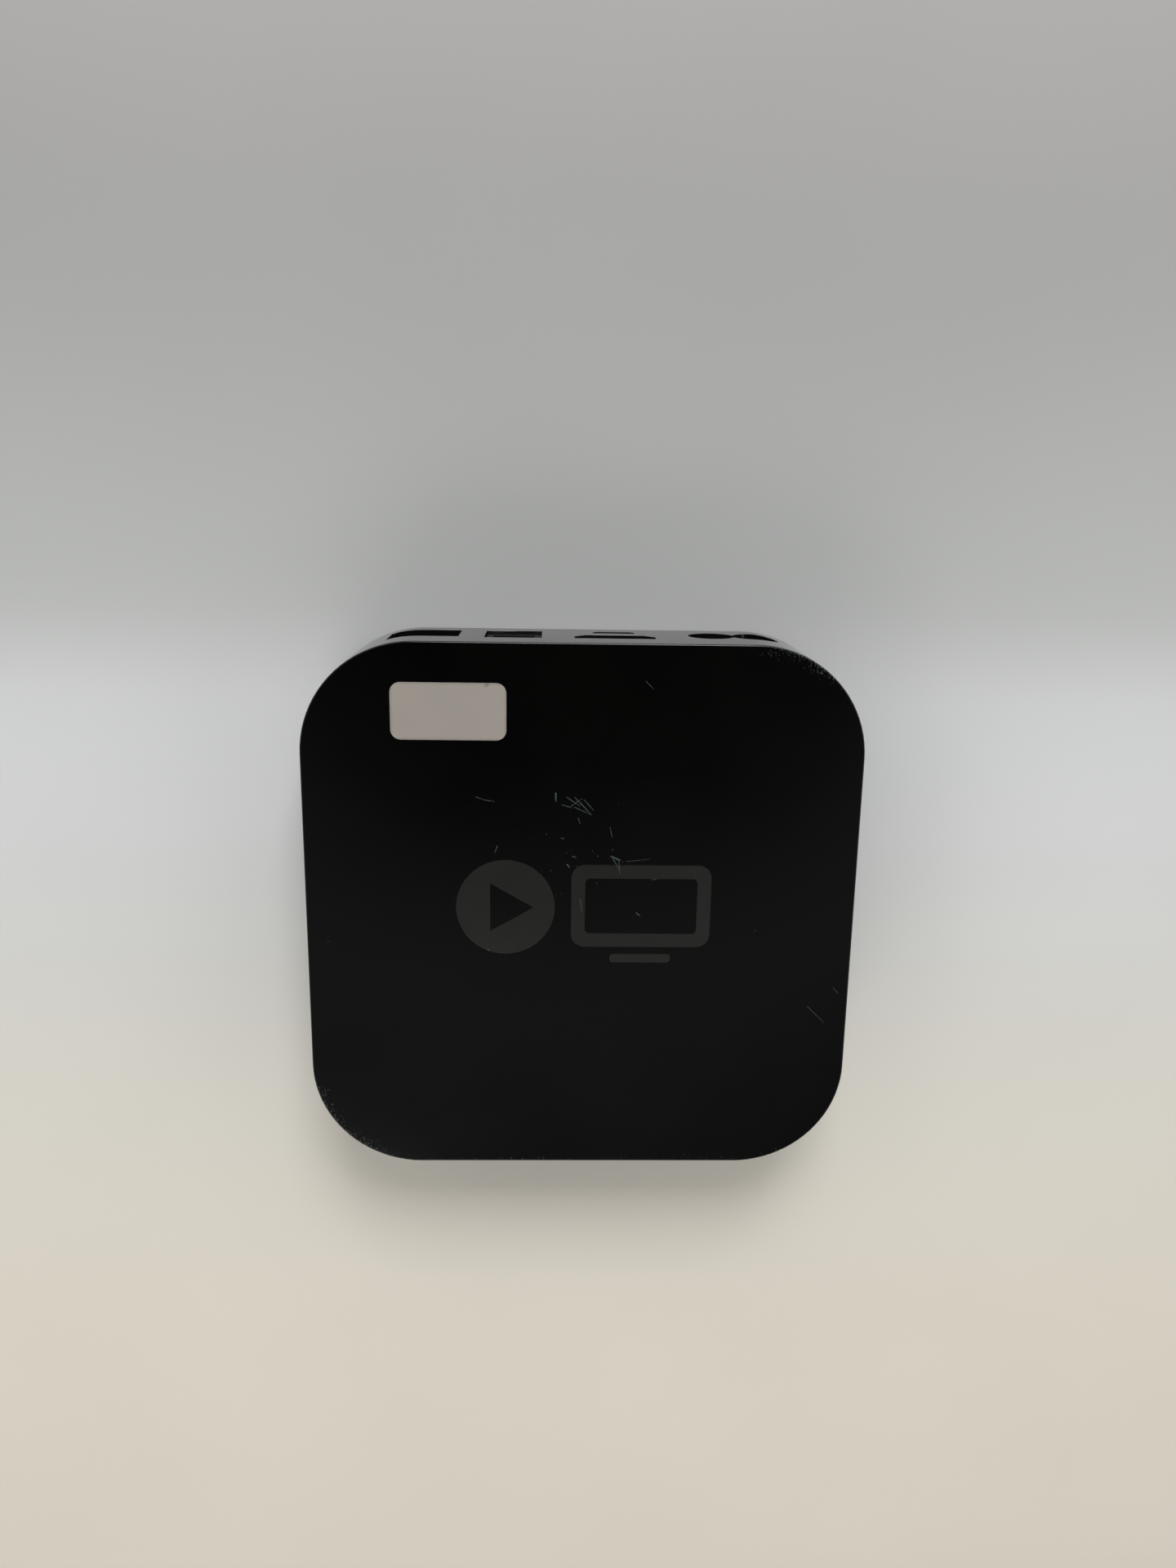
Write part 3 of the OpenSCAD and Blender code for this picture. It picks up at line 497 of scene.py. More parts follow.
def case_face_finish():
    f = Finish("case_face")
    place = f.place()
    mask = f.group(scratches, place)[0]
    worn = f.group(rim, place)[0]
    cloud = f.span(f.noise(place, 30 * MM, 3), 0.3, 0.7)
    grain = f.noise(place, 0.16 * MM, 3, 0.65)
    specks = f.math(
        "MAXIMUM", dust(f, place, 4.5 * MM, 0.14 * MM, 0.22), dust(f, place, 11 * MM, 0.22 * MM, 0.16))
    off = f.node("ShaderNodeVectorMath", {0: place, 1: NICKED}, output=1, operation="DISTANCE")
    nicks = f.math("MULTIPLY", dust(f, place, 0.9 * MM, 0.13 * MM, 0.16), f.span(off, 13 * MM, 5 * MM))
    specks = f.math("MAXIMUM", specks, nicks)
    smear = f.span(f.noise(f.stretched(place, 1.0, 3.0, 1.0), 16 * MM, 4, 0.6), 0.5, 0.8)
    # painted shade: the face's blacks, kept far below the wall's
    base = f.blend(cloud, FACE_BLACK_PAINTED_SHADE, tone(0.0008, 0.0008, 0.0006))
    base = f.blend(f.math("MULTIPLY", smear, 0.25), base, tone(0.0018, 0.0018, 0.0015))
    base = f.blend(f.math("MULTIPLY", specks, 0.35), base, tone(0.20, 0.20, 0.19))
    base = f.blend(f.math("MULTIPLY", worn, 0.7), base, SCUFF)
    base = f.blend(f.math("MULTIPLY", mask, 0.85), base, BARE_SCRATCH)
    f.set("Base Color", base)
    f.set("Roughness", f.span(f.math("ADD", grain, cloud), 0.4, 1.6, 0.15, 0.21))
    relief = f.bump(grain, 0.0028 * MM)
    f.set("Normal", f.bump(f.math("SUBTRACT", 0.0, worn), 0.008 * MM, relief))
    return f.material


def case_wall_finish():
    f = Finish("case_wall")
    place = f.place()
    worn = f.group(rim, place)[0]
    parts = f.node("ShaderNodeSeparateXYZ", {0: place}, output=2)
    near_top = f.span(parts, 21.8 * MM, 22.6 * MM)
    hair = f.noise(f.stretched(place, 1.0, 1.0, 9.0), 2.2 * MM, 5, 0.7)
    haze = f.span(f.noise(place, 9 * MM, 4, 0.6), 0.4, 0.75)
    specks = dust(f, place, 3.2 * MM, 0.12 * MM, 0.2)
    rubbed = f.math("MULTIPLY", worn, near_top)
    base = f.blend(f.math("MULTIPLY", specks, 0.4), tone(0.0040, 0.0040, 0.0042), tone(0.2, 0.2, 0.19))
    base = f.blend(f.math("MULTIPLY", rubbed, 0.6), base, SCUFF)
    f.set("Base Color", base)
    rough = f.span(f.math("ADD", hair, haze), 0.5, 1.5, 0.07, 0.16)
    f.set("Roughness", f.math("MAXIMUM", rough, f.math("MULTIPLY", rubbed, 0.5)))
    f.set("Normal", f.bump(hair, 0.0006 * MM))
    return f.material


case_face = case_face_finish()
case_wall = case_wall_finish()
print("case finishes:", case_face.name, case_wall.name)

# %% [markdown]
# ## Refining a hard part
# The CAD solids have knife edges, and no real part has: an edge looks real because its tiny
# radius catches the light. A copy of the node is welded, its flat facets are joined, and its
# sharp edges get a bevel of a few hundredths of a millimetre. Weighted normals then keep the
# big faces perfectly flat in the shading, so only the bevels bend the reflections.

# %% Copy, weld, bevel
def slot_of(node):
    """The material slot that the record gives a CAD node."""
    return nodes[node].data.materials[0].name


def finished(name, mesh, stands_for, *finishes, body="player"):
    """Makes the piece from a mesh that is already in place."""
    piece = bpy.data.objects.new(name, mesh)
    bpy.context.scene.collection.objects.link(piece)
    for finish in finishes:
        mesh.materials.append(finish)
    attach(piece, body)
    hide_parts(*stands_for)
    print(name, len(mesh.polygons), "faces")
    return piece


def evaluated(holder):
    """The mesh of an object after its modifiers; the object itself is removed."""
    depsgraph = bpy.context.evaluated_depsgraph_get()
    mesh = bpy.data.meshes.new_from_object(holder.evaluated_get(depsgraph))
    bpy.data.objects.remove(holder)
    return mesh


def shaded(mesh, angle=32):
    """Smooth shading with creases above the angle, weighted so that large faces stay flat."""
    mesh.shade_smooth()
    mesh.set_sharp_from_angle(angle=math.radians(angle))
    holder = bpy.data.objects.new("holder", mesh)
    bpy.context.scene.collection.objects.link(holder)
    weighted = holder.modifiers.new("weighted", "WEIGHTED_NORMAL")
    weighted.keep_sharp = True
    weighted.weight = 100
    return evaluated(holder)


def welded(node):
    """A copy of a CAD node's mesh with its loose triangles joined and flat areas dissolved."""
    bm = bmesh.new()
    bm.from_mesh(nodes[node].data)
    bmesh.ops.remove_doubles(bm, verts=bm.verts, dist=0.0005 * MM)
    bmesh.ops.dissolve_limit(bm, angle_limit=math.radians(0.4), verts=bm.verts, edges=bm.edges)
    return bm


def eased(bm, width, angle=38):
    """Rounds every edge that turns by more than the angle. width is in millimetres."""
    sharp = [e for e in bm.edges if e.is_manifold and e.calc_face_angle(0) > math.radians(angle)]
    bmesh.ops.bevel(bm, geom=sharp, offset=width * MM, segments=2, profile=0.6,
                    affect="EDGES", clamp_overlap=True)


def to_mesh(bm, name):
    mesh = bpy.data.meshes.new(name)
    bm.to_mesh(mesh)
    bm.free()
    return mesh


def refined(node, name, width, *finishes, body="player", paint=None):
    """A stand-in for one CAD node with eased edges; paint picks a finish for each face."""
    bm = welded(node)
    eased(bm, width)
    if paint:
        for face in bm.faces:
            face.material_index = paint(face)
    return finished(name, shaded(to_mesh(bm, name)), [node], *finishes, body=body)


# %% [markdown]
# ## Housing
# The housing is the piece that is seen. Its top edge is a small arc, its walls lean in by the
# draft that lets a moulding leave its tool and are rounded at the foot, and the socket windows
# are cut clean through the rear wall. The etched finish covers the flat top and the arc around
# it, so the finish changes along the line where the arc meets the wall.

# %% Case housing
FACE_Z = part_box("top_housing")[1].z
FACE_DEPTH = 0.5 * MM  # deep enough to take in the arc around the top


def face_or_wall(face):
    """Finish 0 on the top with the arc around it, finish 1 on everything else."""
    high = face.calc_center_median().z > FACE_Z - FACE_DEPTH
    return 0 if high and face.normal.z > 0.1 else 1


refined("top_housing", "case_housing", 0.08, case_face, case_wall, paint=face_or_wall)

# %% [markdown]
# ## Emblem and paper label
# The emblem is a play disc and a screen, inlaid flush in gloss plastic, so it is told from the
# face around it by its shine, by a painted sheen in its lighter colour and by a hairline groove.
# A blank paper label is stuck near the rear edge. Its paper is slightly warm, shaded by fibres,
# greyer where fingers met its edge, and has one smudge.

# %% Emblem and label finishes
def emblem_painted_sheen_finish():
    f = Finish("emblem_gloss")
    place = f.place()
    mask = f.group(scratches, place)[0]
    cloud = f.span(f.noise(place, 9 * MM, 4, 0.6), 0.35, 0.7)
    specks = dust(f, place, 2.2 * MM, 0.1 * MM, 0.22)
    # painted sheen: the emblem's colour is about forty times lighter than the face's black, standing in for
    # the shine of its gloss
    base = f.blend(cloud, tone(0.0158, 0.0158, 0.0142), tone(0.0186, 0.0186, 0.0168))
    base = f.blend(f.math("MULTIPLY", specks, 0.4), base, tone(0.2, 0.2, 0.19))
    f.set("Base Color", f.blend(f.math("MULTIPLY", mask, 0.8), base, BARE_SCRATCH))
    hair = f.noise(f.stretched(place, 1.0, 7.0, 1.0), 1.5 * MM, 5, 0.7)
    f.set("Roughness", f.span(f.math("ADD", hair, cloud), 0.5, 1.5, 0.07, 0.15))
    f.set("Normal", f.bump(hair, 0.0005 * MM))
    return f.material


LABEL_LOW, LABEL_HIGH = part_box("blank_label")
SMUDGE = at(-16.8, 41.7, 23.0)


def label_finish():
    f = Finish("label_paper", IOR=1.45)
    f.shader.inputs["Specular IOR Level"].default_value = 0.35
    place = f.place()
    middle = (LABEL_LOW + LABEL_HIGH) / 2
    size = LABEL_HIGH - LABEL_LOW
    local = f.node("ShaderNodeMapping", {"Vector": place, "Location": -middle})
    folded = f.node("ShaderNodeVectorMath", {0: local}, operation="ABSOLUTE")
    parts = f.tree.nodes.new("ShaderNodeSeparateXYZ")
    f.feed(parts.inputs[0], folded)
    to_side = f.math("SUBTRACT", size.x / 2, parts.outputs[0])
    to_end = f.math("SUBTRACT", size.y / 2, parts.outputs[1])
    rub = f.noise(place, 1.2 * MM, 4, 0.65)
    edge = f.math("MULTIPLY", f.span(f.math("MINIMUM", to_side, to_end), 0.5 * MM, 0.0), rub)
    cloud = f.span(f.noise(place, 6 * MM, 3), 0.3, 0.7)
    fibre = f.noise(f.stretched(place, 1.0, 4.0, 1.0), 0.35 * MM, 4, 0.7)
    off = f.node("ShaderNodeVectorMath", {0: place, 1: SMUDGE}, output=1, operation="DISTANCE")
    smudge = f.math("MULTIPLY", f.span(off, 0.55 * MM, 0.1 * MM), f.span(rub, 0.3, 0.6))
    paper = f.blend(cloud, tone(0.322, 0.294, 0.262), tone(0.342, 0.308, 0.272))
    paper = f.blend(f.span(fibre, 0.35, 0.7, 0.0, 0.35), paper, tone(0.292, 0.268, 0.238))
    paper = f.blend(edge, paper, tone(0.17, 0.16, 0.145))
    f.set("Base Color", f.blend(smudge, paper, tone(0.10, 0.095, 0.085)))
    f.set("Roughness", f.span(fibre, 0.3, 0.7, 0.5, 0.68))
    f.set("Normal", f.bump(fibre, 0.004 * MM))
    return f.material


emblem_gloss = emblem_painted_sheen_finish()
label_paper = label_finish()
refined("emblem_inlay", "emblem_inlay_glossy", 0.03, emblem_gloss)
refined("blank_label", "label_sheet", 0.03, label_paper)

# %% [markdown]
# ## Base
# The base cover closes the case from below and carries the soft foot pad. The pad is the only
# thing that touches the table, so it is a dull rubber that holds dust.

# %% Base finishes and pieces
base_plastic = moulded("base_plastic", tone(0.006), 0.42, grain=0.25, depth=0.006)


def pad_finish():
    f = Finish("pad_rubber", IOR=1.48)
    place = f.place()
    grain = f.noise(place, 0.12 * MM, 3, 0.7)
    lint = f.math(
        "MAXIMUM", dust(f, place, 2.6 * MM, 0.2 * MM, 0.3), dust(f, place, 7 * MM, 0.5 * MM, 0.2))
    worn = f.span(f.noise(place, 12 * MM, 4, 0.6), 0.45, 0.75)
    base = f.blend(f.math("MULTIPLY", worn, 0.6), tone(0.013), tone(0.028, 0.027, 0.026))
    f.set("Base Color", f.blend(f.math("MULTIPLY", lint, 0.5), base, tone(0.2, 0.19, 0.18)))
    f.set("Roughness", f.span(grain, 0.3, 0.7, 0.74, 0.92))
    f.set("Normal", f.bump(grain, 0.01 * MM))
    return f.material


refined("base_cover", "base_moulding", 0.12, base_plastic)
refined("base_pad", "foot_pad", 0.12, pad_finish())

# %% [markdown]
# ## Rear sockets
# Five openings show what stands behind the rear wall: a network jack, an optical jack with a
# spring flap, a video socket above a service socket, and the mains inlet. Their bodies are
# moulded or drawn from sheet, and it is their eased rims that make them readable in the dark.

# %% Socket finishes and bodies
socket_black = moulded(
    "socket_black", tone(0.004), 0.55, grain=0.18, depth=0.005, Specular_IOR_Level=0.25)
flap_black = moulded(
    "flap_black", tone(0.005), 0.7, grain=0.35, depth=0.020, Specular_IOR_Level=0.15)
tin_plate = metal("tin_plate", tone(0.66, 0.67, 0.68), 0.24)
nickel_plate = metal("nickel_plate", tone(0.70, 0.68, 0.64), 0.16, brushed=(12.0, 1.0, 12.0), stain=0.22)
gold_plate = metal("gold_contact", tone(0.86, 0.62, 0.26), 0.20, brushed=(10.0, 1.0, 10.0), stain=0.35)

refined("ethernet_jack", "network_socket", 0.08, socket_black)
refined("ethernet_shield", "network_shield", 0.04, tin_plate)
refined("optical_jack", "optical_socket", 0.08, socket_black)
refined("optical_shutter", "spring_flap", 0.08, flap_black, body="shutter")
refined("video_shell", "video_socket_shell", 0.06, tin_plate)
refined("video_tongue", "video_socket_tongue", 0.08, socket_black)
refined("service_shell", "service_socket_shell", 0.05, tin_plate)
refined("service_tongue", "service_socket_tongue", 0.05, socket_black)
refined("inlet_body", "mains_inlet", 0.10, socket_black)
refined("inlet_pins", "mains_pins", 0.06, nickel_plate)

# %% [markdown]
# ## A Geometry Nodes tree for rows and for spots
# Contacts stand in rows of equal pitch, and screws stand on given spots. Both are one shape
# repeated, which is what Geometry Nodes are for: one tree puts the shape on a mesh line, and
# the other puts it on the vertices of a seed mesh. Each ends by making the copies real and
# giving them their finish, because the export keeps only real geometry.

# %% Growing a mesh from a tree
def new_tree(name, **inputs):
    """A Geometry Nodes tree with named inputs; returns the tree and its wiring."""
    tree = bpy.data.node_groups.new(name, "GeometryNodeTree")
    tree.is_modifier = True
    face = tree.interface
    face.new_socket("Geometry", in_out="INPUT", socket_type="NodeSocketGeometry")
    for label, kind in inputs.items():
        face.new_socket(label, in_out="INPUT", socket_type="NodeSocket" + kind)
    face.new_socket("Finish", in_out="INPUT", socket_type="NodeSocketMaterial")
    face.new_socket("Geometry", in_out="OUTPUT", socket_type="NodeSocketGeometry")
    w = Wiring(tree)
    w.given = tree.nodes.new("NodeGroupInput").outputs
    w.result = tree.nodes.new("NodeGroupOutput").inputs[0]
    return tree, w


def close_tree(w, geometry):
    """Real geometry with its finish, as the last two nodes of every tree."""
    real = w.node("GeometryNodeRealizeInstances", {0: geometry})
    w.feed(w.result, w.node("GeometryNodeSetMaterial", {0: real, "Material": w.given["Finish"]}))


def grown(tree, seed, **values):
    """The plain mesh that a tree makes from a seed mesh."""
    holder = bpy.data.objects.new("holder", seed)
    bpy.context.scene.collection.objects.link(holder)
    modifier = holder.modifiers.new("tree", "NODES")
    modifier.node_group = tree
    for item in tree.interface.items_tree:
        if item.in_out == "INPUT" and item.name in values:
            modifier[item.identifier] = values[item.name]
    mesh = evaluated(holder)
    mesh.materials.clear()  # an empty slot comes along from the seed
    mesh.materials.append(values["Finish"])
    return mesh


def make_row_tree():
    """The seed repeated Count times, Pitch apart along X."""
    tree, w = new_tree("contact_row", Count="Int", Pitch="Float", Start="Vector")
    step = w.node("ShaderNodeCombineXYZ", {0: w.given["Pitch"]})
    line = w.node("GeometryNodeMeshLine", {
        "Count": w.given["Count"], "Start Location": w.given["Start"], "Offset": step})
    close_tree(w, w.node("GeometryNodeInstanceOnPoints", {
        "Points": line, "Instance": w.given["Geometry"]}))
    return tree


def make_spot_tree():
    """The seed repeated on each point of a second mesh."""
    tree, w = new_tree("on_spots", Spots="Object")
    spots = w.node("GeometryNodeObjectInfo", {"Object": w.given["Spots"]}, output="Geometry")
    points = w.node("GeometryNodeMeshToPoints", {"Mesh": spots})
    close_tree(w, w.node("GeometryNodeInstanceOnPoints", {
        "Points": points, "Instance": w.given["Geometry"]}))
    return tree


contact_row = make_row_tree()
on_spots = make_spot_tree()


# %% [markdown]
# ## Contacts
# A contact is a thin strip of spring metal bent along a path. The strip is a ribbon of quads
# on both sides of the path, given its width, with its edges eased. The network contacts rise
# from the comb at the top of the jack down towards its back; the others lie flat on a tongue.

# %% Contact strips
def rounded_path(path, passes=2):
    """Cuts the corners of an open path, which rounds its bends."""
    for _ in range(passes):
        cut = [path[0]]
        for a, b in zip(path, path[1:]):
            cut += [a.lerp(b, 0.25), a.lerp(b, 0.75)]
        path = cut + [path[-1]]
    return path


def strip(path, width, thickness, ease):
    """A bent strip centred on X = 0. The path is (y, z) in millimetres."""
    points = rounded_path([Vector(p) for p in path])
    sides = ([], [])
    for i, point in enumerate(points):
        run = points[min(i + 1, len(points) - 1)] - points[max(i - 1, 0)]
        across = Vector((-run.y, run.x)).normalized() * thickness / 2
        sides[0].append(point + across)
        sides[1].append(point - across)
    outline = sides[0] + sides[1][::-1]
    bm = bmesh.new()
    near = [bm.verts.new(at(-width / 2, *p)) for p in outline]
    far = [bm.verts.new(at(width / 2, *p)) for p in outline]
    count, last = len(outline), len(points) - 1
    for i in range(count):
        j = (i + 1) % count
        bm.faces.new((near[i], near[j], far[j], far[i]))
    for i in range(last):
        j = count - 1 - i
        bm.faces.new((near[i], near[j], near[j - 1], near[i + 1]))
        bm.faces.new((far[i], far[i + 1], far[j - 1], far[j]))
    bmesh.ops.recalc_face_normals(bm, faces=bm.faces)
    eased(bm, ease)
    return to_mesh(bm, "strip")


def contacts(node, name, rows):
    """Rows of strips joined into one piece; a row is (strip, first x, pitch, count)."""
    bm = bmesh.new()
    for shape, first, pitch, count in rows:
        bm.from_mesh(grown(contact_row, shape, Count=count, Pitch=pitch * MM,
                           Start=at(first, 0, 0), Finish=gold_plate))
    finished(name, shaded(to_mesh(bm, name)), [node], gold_plate)


def first_x(node, width):
    """Centre of the leftmost strip of a CAD row of strips."""
    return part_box(node)[0].x / MM + width / 2


NETWORK_PATH = [(45.3, 15.55), (44.7, 15.5), (43.7, 14.8), (37, 12.2), (36.4, 12.2)]
network_strip = strip(NETWORK_PATH, 0.4, 0.3, 0.06)
network_first = first_x("ethernet_contacts", 0.4)
contacts("ethernet_contacts", "network_contacts", [(network_strip, network_first, 1.02, 8)])

upper = strip([(37.2, 14.55), (44.4, 14.55), (44.8, 14.52)], 0.44, 0.1, 0.02)
lower = strip([(37.2, 13.35), (44.4, 13.35), (44.8, 13.38)], 0.44, 0.1, 0.02)
video_first = first_x("video_contacts", 0.44)
video_rows = [(upper, video_first, 1.0, 10), (lower, video_first + 0.5, 1.0, 9)]
contacts("video_contacts", "video_socket_contacts", video_rows)

service_strip = strip([(42, 7.11), (45.1, 7.11), (45.4, 7.12)], 0.4, 0.08, 0.015)
service_first = first_x("service_contacts", 0.4)
contacts("service_contacts", "service_socket_contacts", [(service_strip, service_first, 0.65, 5)])

# %% [markdown]
# ## Screws
# Ten small screws hold the boards and the heat spreader. A screw is a stack of rings, which is
# what a lathe would leave: rings around the recess are hexagonal, rings of the head are round,
# and the rings of the shank swell in and out with the angle, which winds the thread.

# %% Screws
SCREW_SIDES = 24
THREAD_PITCH = 0.8


def ring(bm, z, radius):
    """A ring of points; radius is a function of the angle."""
    angles = [2 * math.pi * i / SCREW_SIDES for i in range(SCREW_SIDES)]
    return [bm.verts.new(at(radius(a) * math.cos(a), radius(a) * math.sin(a), z)) for a in angles]


def hexagon(size):
    sector = math.pi / 3
    return lambda a: size * math.cos(sector / 2) / math.cos(a % sector - sector / 2)


def threaded(z, core=0.78, crest=0.94):
    """Radius of the shank at height z: the crest winds up by one pitch each turn."""
    def radius(a):
        phase = (z / THREAD_PITCH - a / (2 * math.pi)) % 1
        return core + (crest - core) * max(0.0, 1 - abs(2 * phase - 1) * 1.5)
    return radius


def screw(length, head_r=2.0, head_h=1.2):
    """A screw with its head below Z = 0 and its shank above, as the boards' screws stand."""
    rounds = [(-head_h + 0.75, 0.6 * 0.95), (-head_h + 0.7, 0.95), (-head_h + 0.04, 0.97), (-head_h, 1.05)]
    head = [(-head_h, head_r - 0.5), (-head_h + 0.12, head_r - 0.2), (-head_h + 0.4, head_r - 0.03),
            (-head_h + 0.6, head_r), (-0.05, head_r), (0.0, head_r - 0.05), (0.0, 0.94)]
    bm = bmesh.new()
    rings = [ring(bm, z, hexagon(size)) for z, size in rounds]
    rings += [ring(bm, z, lambda a, size=size: size) for z, size in head]
    steps = int((length - 0.4) / THREAD_PITCH * 6)
    rings += [ring(bm, z, threaded(z)) for z in [0.15 + i * THREAD_PITCH / 6 for i in range(steps)]]
    rings.append(ring(bm, length, lambda a: 0.6))
    bmesh.ops.contextual_create(bm, geom=rings[0])
    bmesh.ops.contextual_create(bm, geom=rings[-1])
    for low, high in zip(rings, rings[1:]):
        for i in range(SCREW_SIDES):
            j = (i + 1) % SCREW_SIDES
            bm.faces.new((low[i], low[j], high[j], high[i]))
    bmesh.ops.recalc_face_normals(bm, faces=bm.faces)
    return to_mesh(bm, "screw")


def screws(node, name, spots, seat):
    """Screws on (x, y) spots, with the undersides of their heads at the height seat."""
    marks = bpy.data.meshes.new("marks")
    marks.from_pydata([at(x, y, seat) for x, y in spots], [], [])
    marker = bpy.data.objects.new("marker", marks)
    bpy.context.scene.collection.objects.link(marker)
    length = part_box(node)[1].z / MM - seat
    mesh = grown(on_spots, screw(length), Spots=marker, Finish=screw_steel)
    bpy.data.objects.remove(marker)
    finished(name, shaded(mesh), [node])


screw_steel = metal("screw_steel", tone(0.46, 0.47, 0.48), 0.30, brushed=(6.0, 6.0, 1.0), stain=0.45)
HEAD_H = 1.2
screws("spreader_screws", "spreader_screw_set", [(-24, 24), (-3, -34), (-34, -12)],
       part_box("spreader_screws")[0].z / MM + HEAD_H)
screws("board_screws", "board_screw_set", [(-40.5, -33), (-41.5, 24), (9, -32), (8.5, 24)],
       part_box("board_screws")[0].z / MM + HEAD_H)
screws("supply_screws", "supply_screw_set", [(41, -30), (19, -34.5), (42, 24)],
       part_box("supply_screws")[0].z / MM + HEAD_H)

# %% [markdown]
# ## Circuit boards
# A board is laminate under a thin coloured mask, with copper tracks raised below it and plated
# holes through it, whose open middles are painted near black as shade. Tracks run along X in
# some regions and along Y in others, as a router lays them, so each region of a Voronoi pattern
# picks its direction. The cut edge shows the bare laminate, so it gets a finish of its own.

# %% Board finishes and pieces
def board_finish(name, mask, track, gap=0.7, **flat):
    """Solder mask over tracks, with ring-shaped plated holes whose open middles are painted dark as shade.
    gap is the track pitch in mm.
    """
    f = Finish(name, **flat)
    place = f.place()
    parts = f.tree.nodes.new("ShaderNodeSeparateXYZ")
    f.feed(parts.inputs[0], place)
    waves = [f.math("PINGPONG", parts.outputs[i], gap / 2 * MM) for i in (0, 1)]
    lines = [f.span(wave, 0.10 * MM, 0.13 * MM) for wave in waves]
    region = f.tree.nodes.new("ShaderNodeTexVoronoi")
    region.distance = "CHEBYCHEV"
    f.feed(region.inputs["Vector"], place)
    region.inputs["Scale"].default_value = 1 / (5 * MM)
    pick = f.node("ShaderNodeSeparateColor", {0: region.outputs["Color"]})
    turned = f.math("GREATER_THAN", pick, 0.5)
    tracks = f.math("ADD", f.math("MULTIPLY", lines[0], turned),
                    f.math("MULTIPLY", lines[1], f.math("SUBTRACT", 1.0, turned)))
    tracks = f.math("MULTIPLY", tracks, f.span(f.noise(place, 4 * MM, 2), 0.48, 0.52))
    holes = f.tree.nodes.new("ShaderNodeTexVoronoi")
    f.feed(holes.inputs["Vector"], place)
    holes.inputs["Scale"].default_value = 1 / (1.9 * MM)
    away = holes.outputs["Distance"]
    plated = f.span(away, 0.17, 0.14)
    # painted shade: the middle of each plated hole is painted near black, standing for the dark inside a hole
    # that is not cut
    hole_painted_shade = f.span(away, 0.08, 0.06)
    cloud = f.span(f.noise(place, 8 * MM, 3), 0.3, 0.7)
    base = f.blend(cloud, scaled(mask, 0.85), scaled(mask, 1.15))
    base = f.blend(f.math("MULTIPLY", tracks, 0.8), base, track)
    base = f.blend(plated, base, tone(0.62, 0.50, 0.26))
    # painted shade: near-black hole middles
    f.set("Base Color", f.blend(hole_painted_shade, base, tone(0.01)))
    f.set("Metallic", f.math("SUBTRACT", plated, hole_painted_shade))
    f.set("Roughness", f.span(cloud, 0.0, 1.0, 0.26, 0.38))
    f.set("Normal", f.bump(f.math("ADD", tracks, plated), 0.02 * MM))
    return f.material


def cut_edge_finish(name, colour):
    """The sawn edge of a laminate: stacked layers of glass cloth in resin."""
    f = Finish(name)
    place = f.place()
    layers = f.noise(f.stretched(place, 1.0, 1.0, 14.0), 1.4 * MM, 3, 0.6)
    f.set("Base Color", f.blend(layers, scaled(colour, 0.7), scaled(colour, 1.25)))
    f.set("Roughness", f.span(layers, 0.3, 0.7, 0.6, 0.85))
    f.set("Normal", f.bump(layers, 0.02 * MM))
    return f.material


def mask_or_edge(face):
    return 0 if abs(face.normal.z) > 0.7 else 1


board_mask = board_finish("board_laminate", tone(0.012, 0.050, 0.026), tone(0.022, 0.085, 0.040))
glass_edge = cut_edge_finish("glass_laminate_edge", tone(0.30, 0.30, 0.16))
supply_mask = board_finish("supply_laminate", tone(0.25, 0.15, 0.055), tone(0.33, 0.20, 0.07), gap=2.6)
paper_edge = cut_edge_finish("paper_laminate_edge", tone(0.30, 0.19, 0.08))
refined("logic_board", "logic_board_laminate", 0.05, board_mask, glass_edge, paint=mask_or_edge)
refined("supply_board", "supply_board_laminate", 0.06, supply_mask, paper_edge, paint=mask_or_edge)


def front_or_edge(face):
    return 0 if abs(face.normal.y) > 0.7 else 1


refined("led_board", "front_board_laminate", 0.04, board_mask, glass_edge, paint=front_or_edge)

# %% [markdown]
# ## Parts on the boards
# Chips, cans, coils and headers are simple solids in the frame, and each has edges that were
# moulded, folded or ground. One list gives every part its eased stand-in. Cans are two parts
# in one: a printed plastic sleeve around the side and bare aluminium on the end.

# %% Board part finishes
chip_resin = moulded("chip_resin", tone(0.014), 0.55, grain=0.10, depth=0.008, vary=0.15, IOR=1.55)
ferrite = moulded("ferrite", tone(0.035, 0.034, 0.033), 0.62, grain=0.20, depth=0.012, IOR=1.6)
header_nylon = moulded("header_nylon", tone(0.72, 0.68, 0.56), 0.42, grain=0.4, depth=0.006, vary=0.06)
thermal_gel = moulded("thermal_gel", tone(0.20, 0.27, 0.38), 0.55, grain=0.5, depth=0.03, vary=0.10, IOR=1.42)
film_box = moulded("film_box", tone(0.55, 0.35, 0.045), 0.30, grain=0.8, depth=0.006, vary=0.10)
fuse_body = moulded("fuse_body", tone(0.10, 0.032, 0.014), 0.35, grain=0.5, depth=0.006, vary=0.2)
winding_tape = moulded("core_winding", tone(0.60, 0.44, 0.05), 0.34, grain=0.9, depth=0.02, vary=0.12)
enamelled_wire = metal("choke_wire", tone(0.62, 0.24, 0.08), 0.22, brushed=(1.0, 1.0, 1.0), stain=0.35)
sink_plate = metal("sink_plate", tone(0.74, 0.75, 0.76), 0.34, brushed=(1.0, 22.0, 22.0))
can_end = metal("can_end", tone(0.78, 0.79, 0.80), 0.28, brushed=(3.0, 3.0, 3.0))
cast_alloy = metal("cast_alloy", tone(0.52, 0.53, 0.54), 0.46, brushed=(3.0, 3.0, 3.0), stain=0.2)


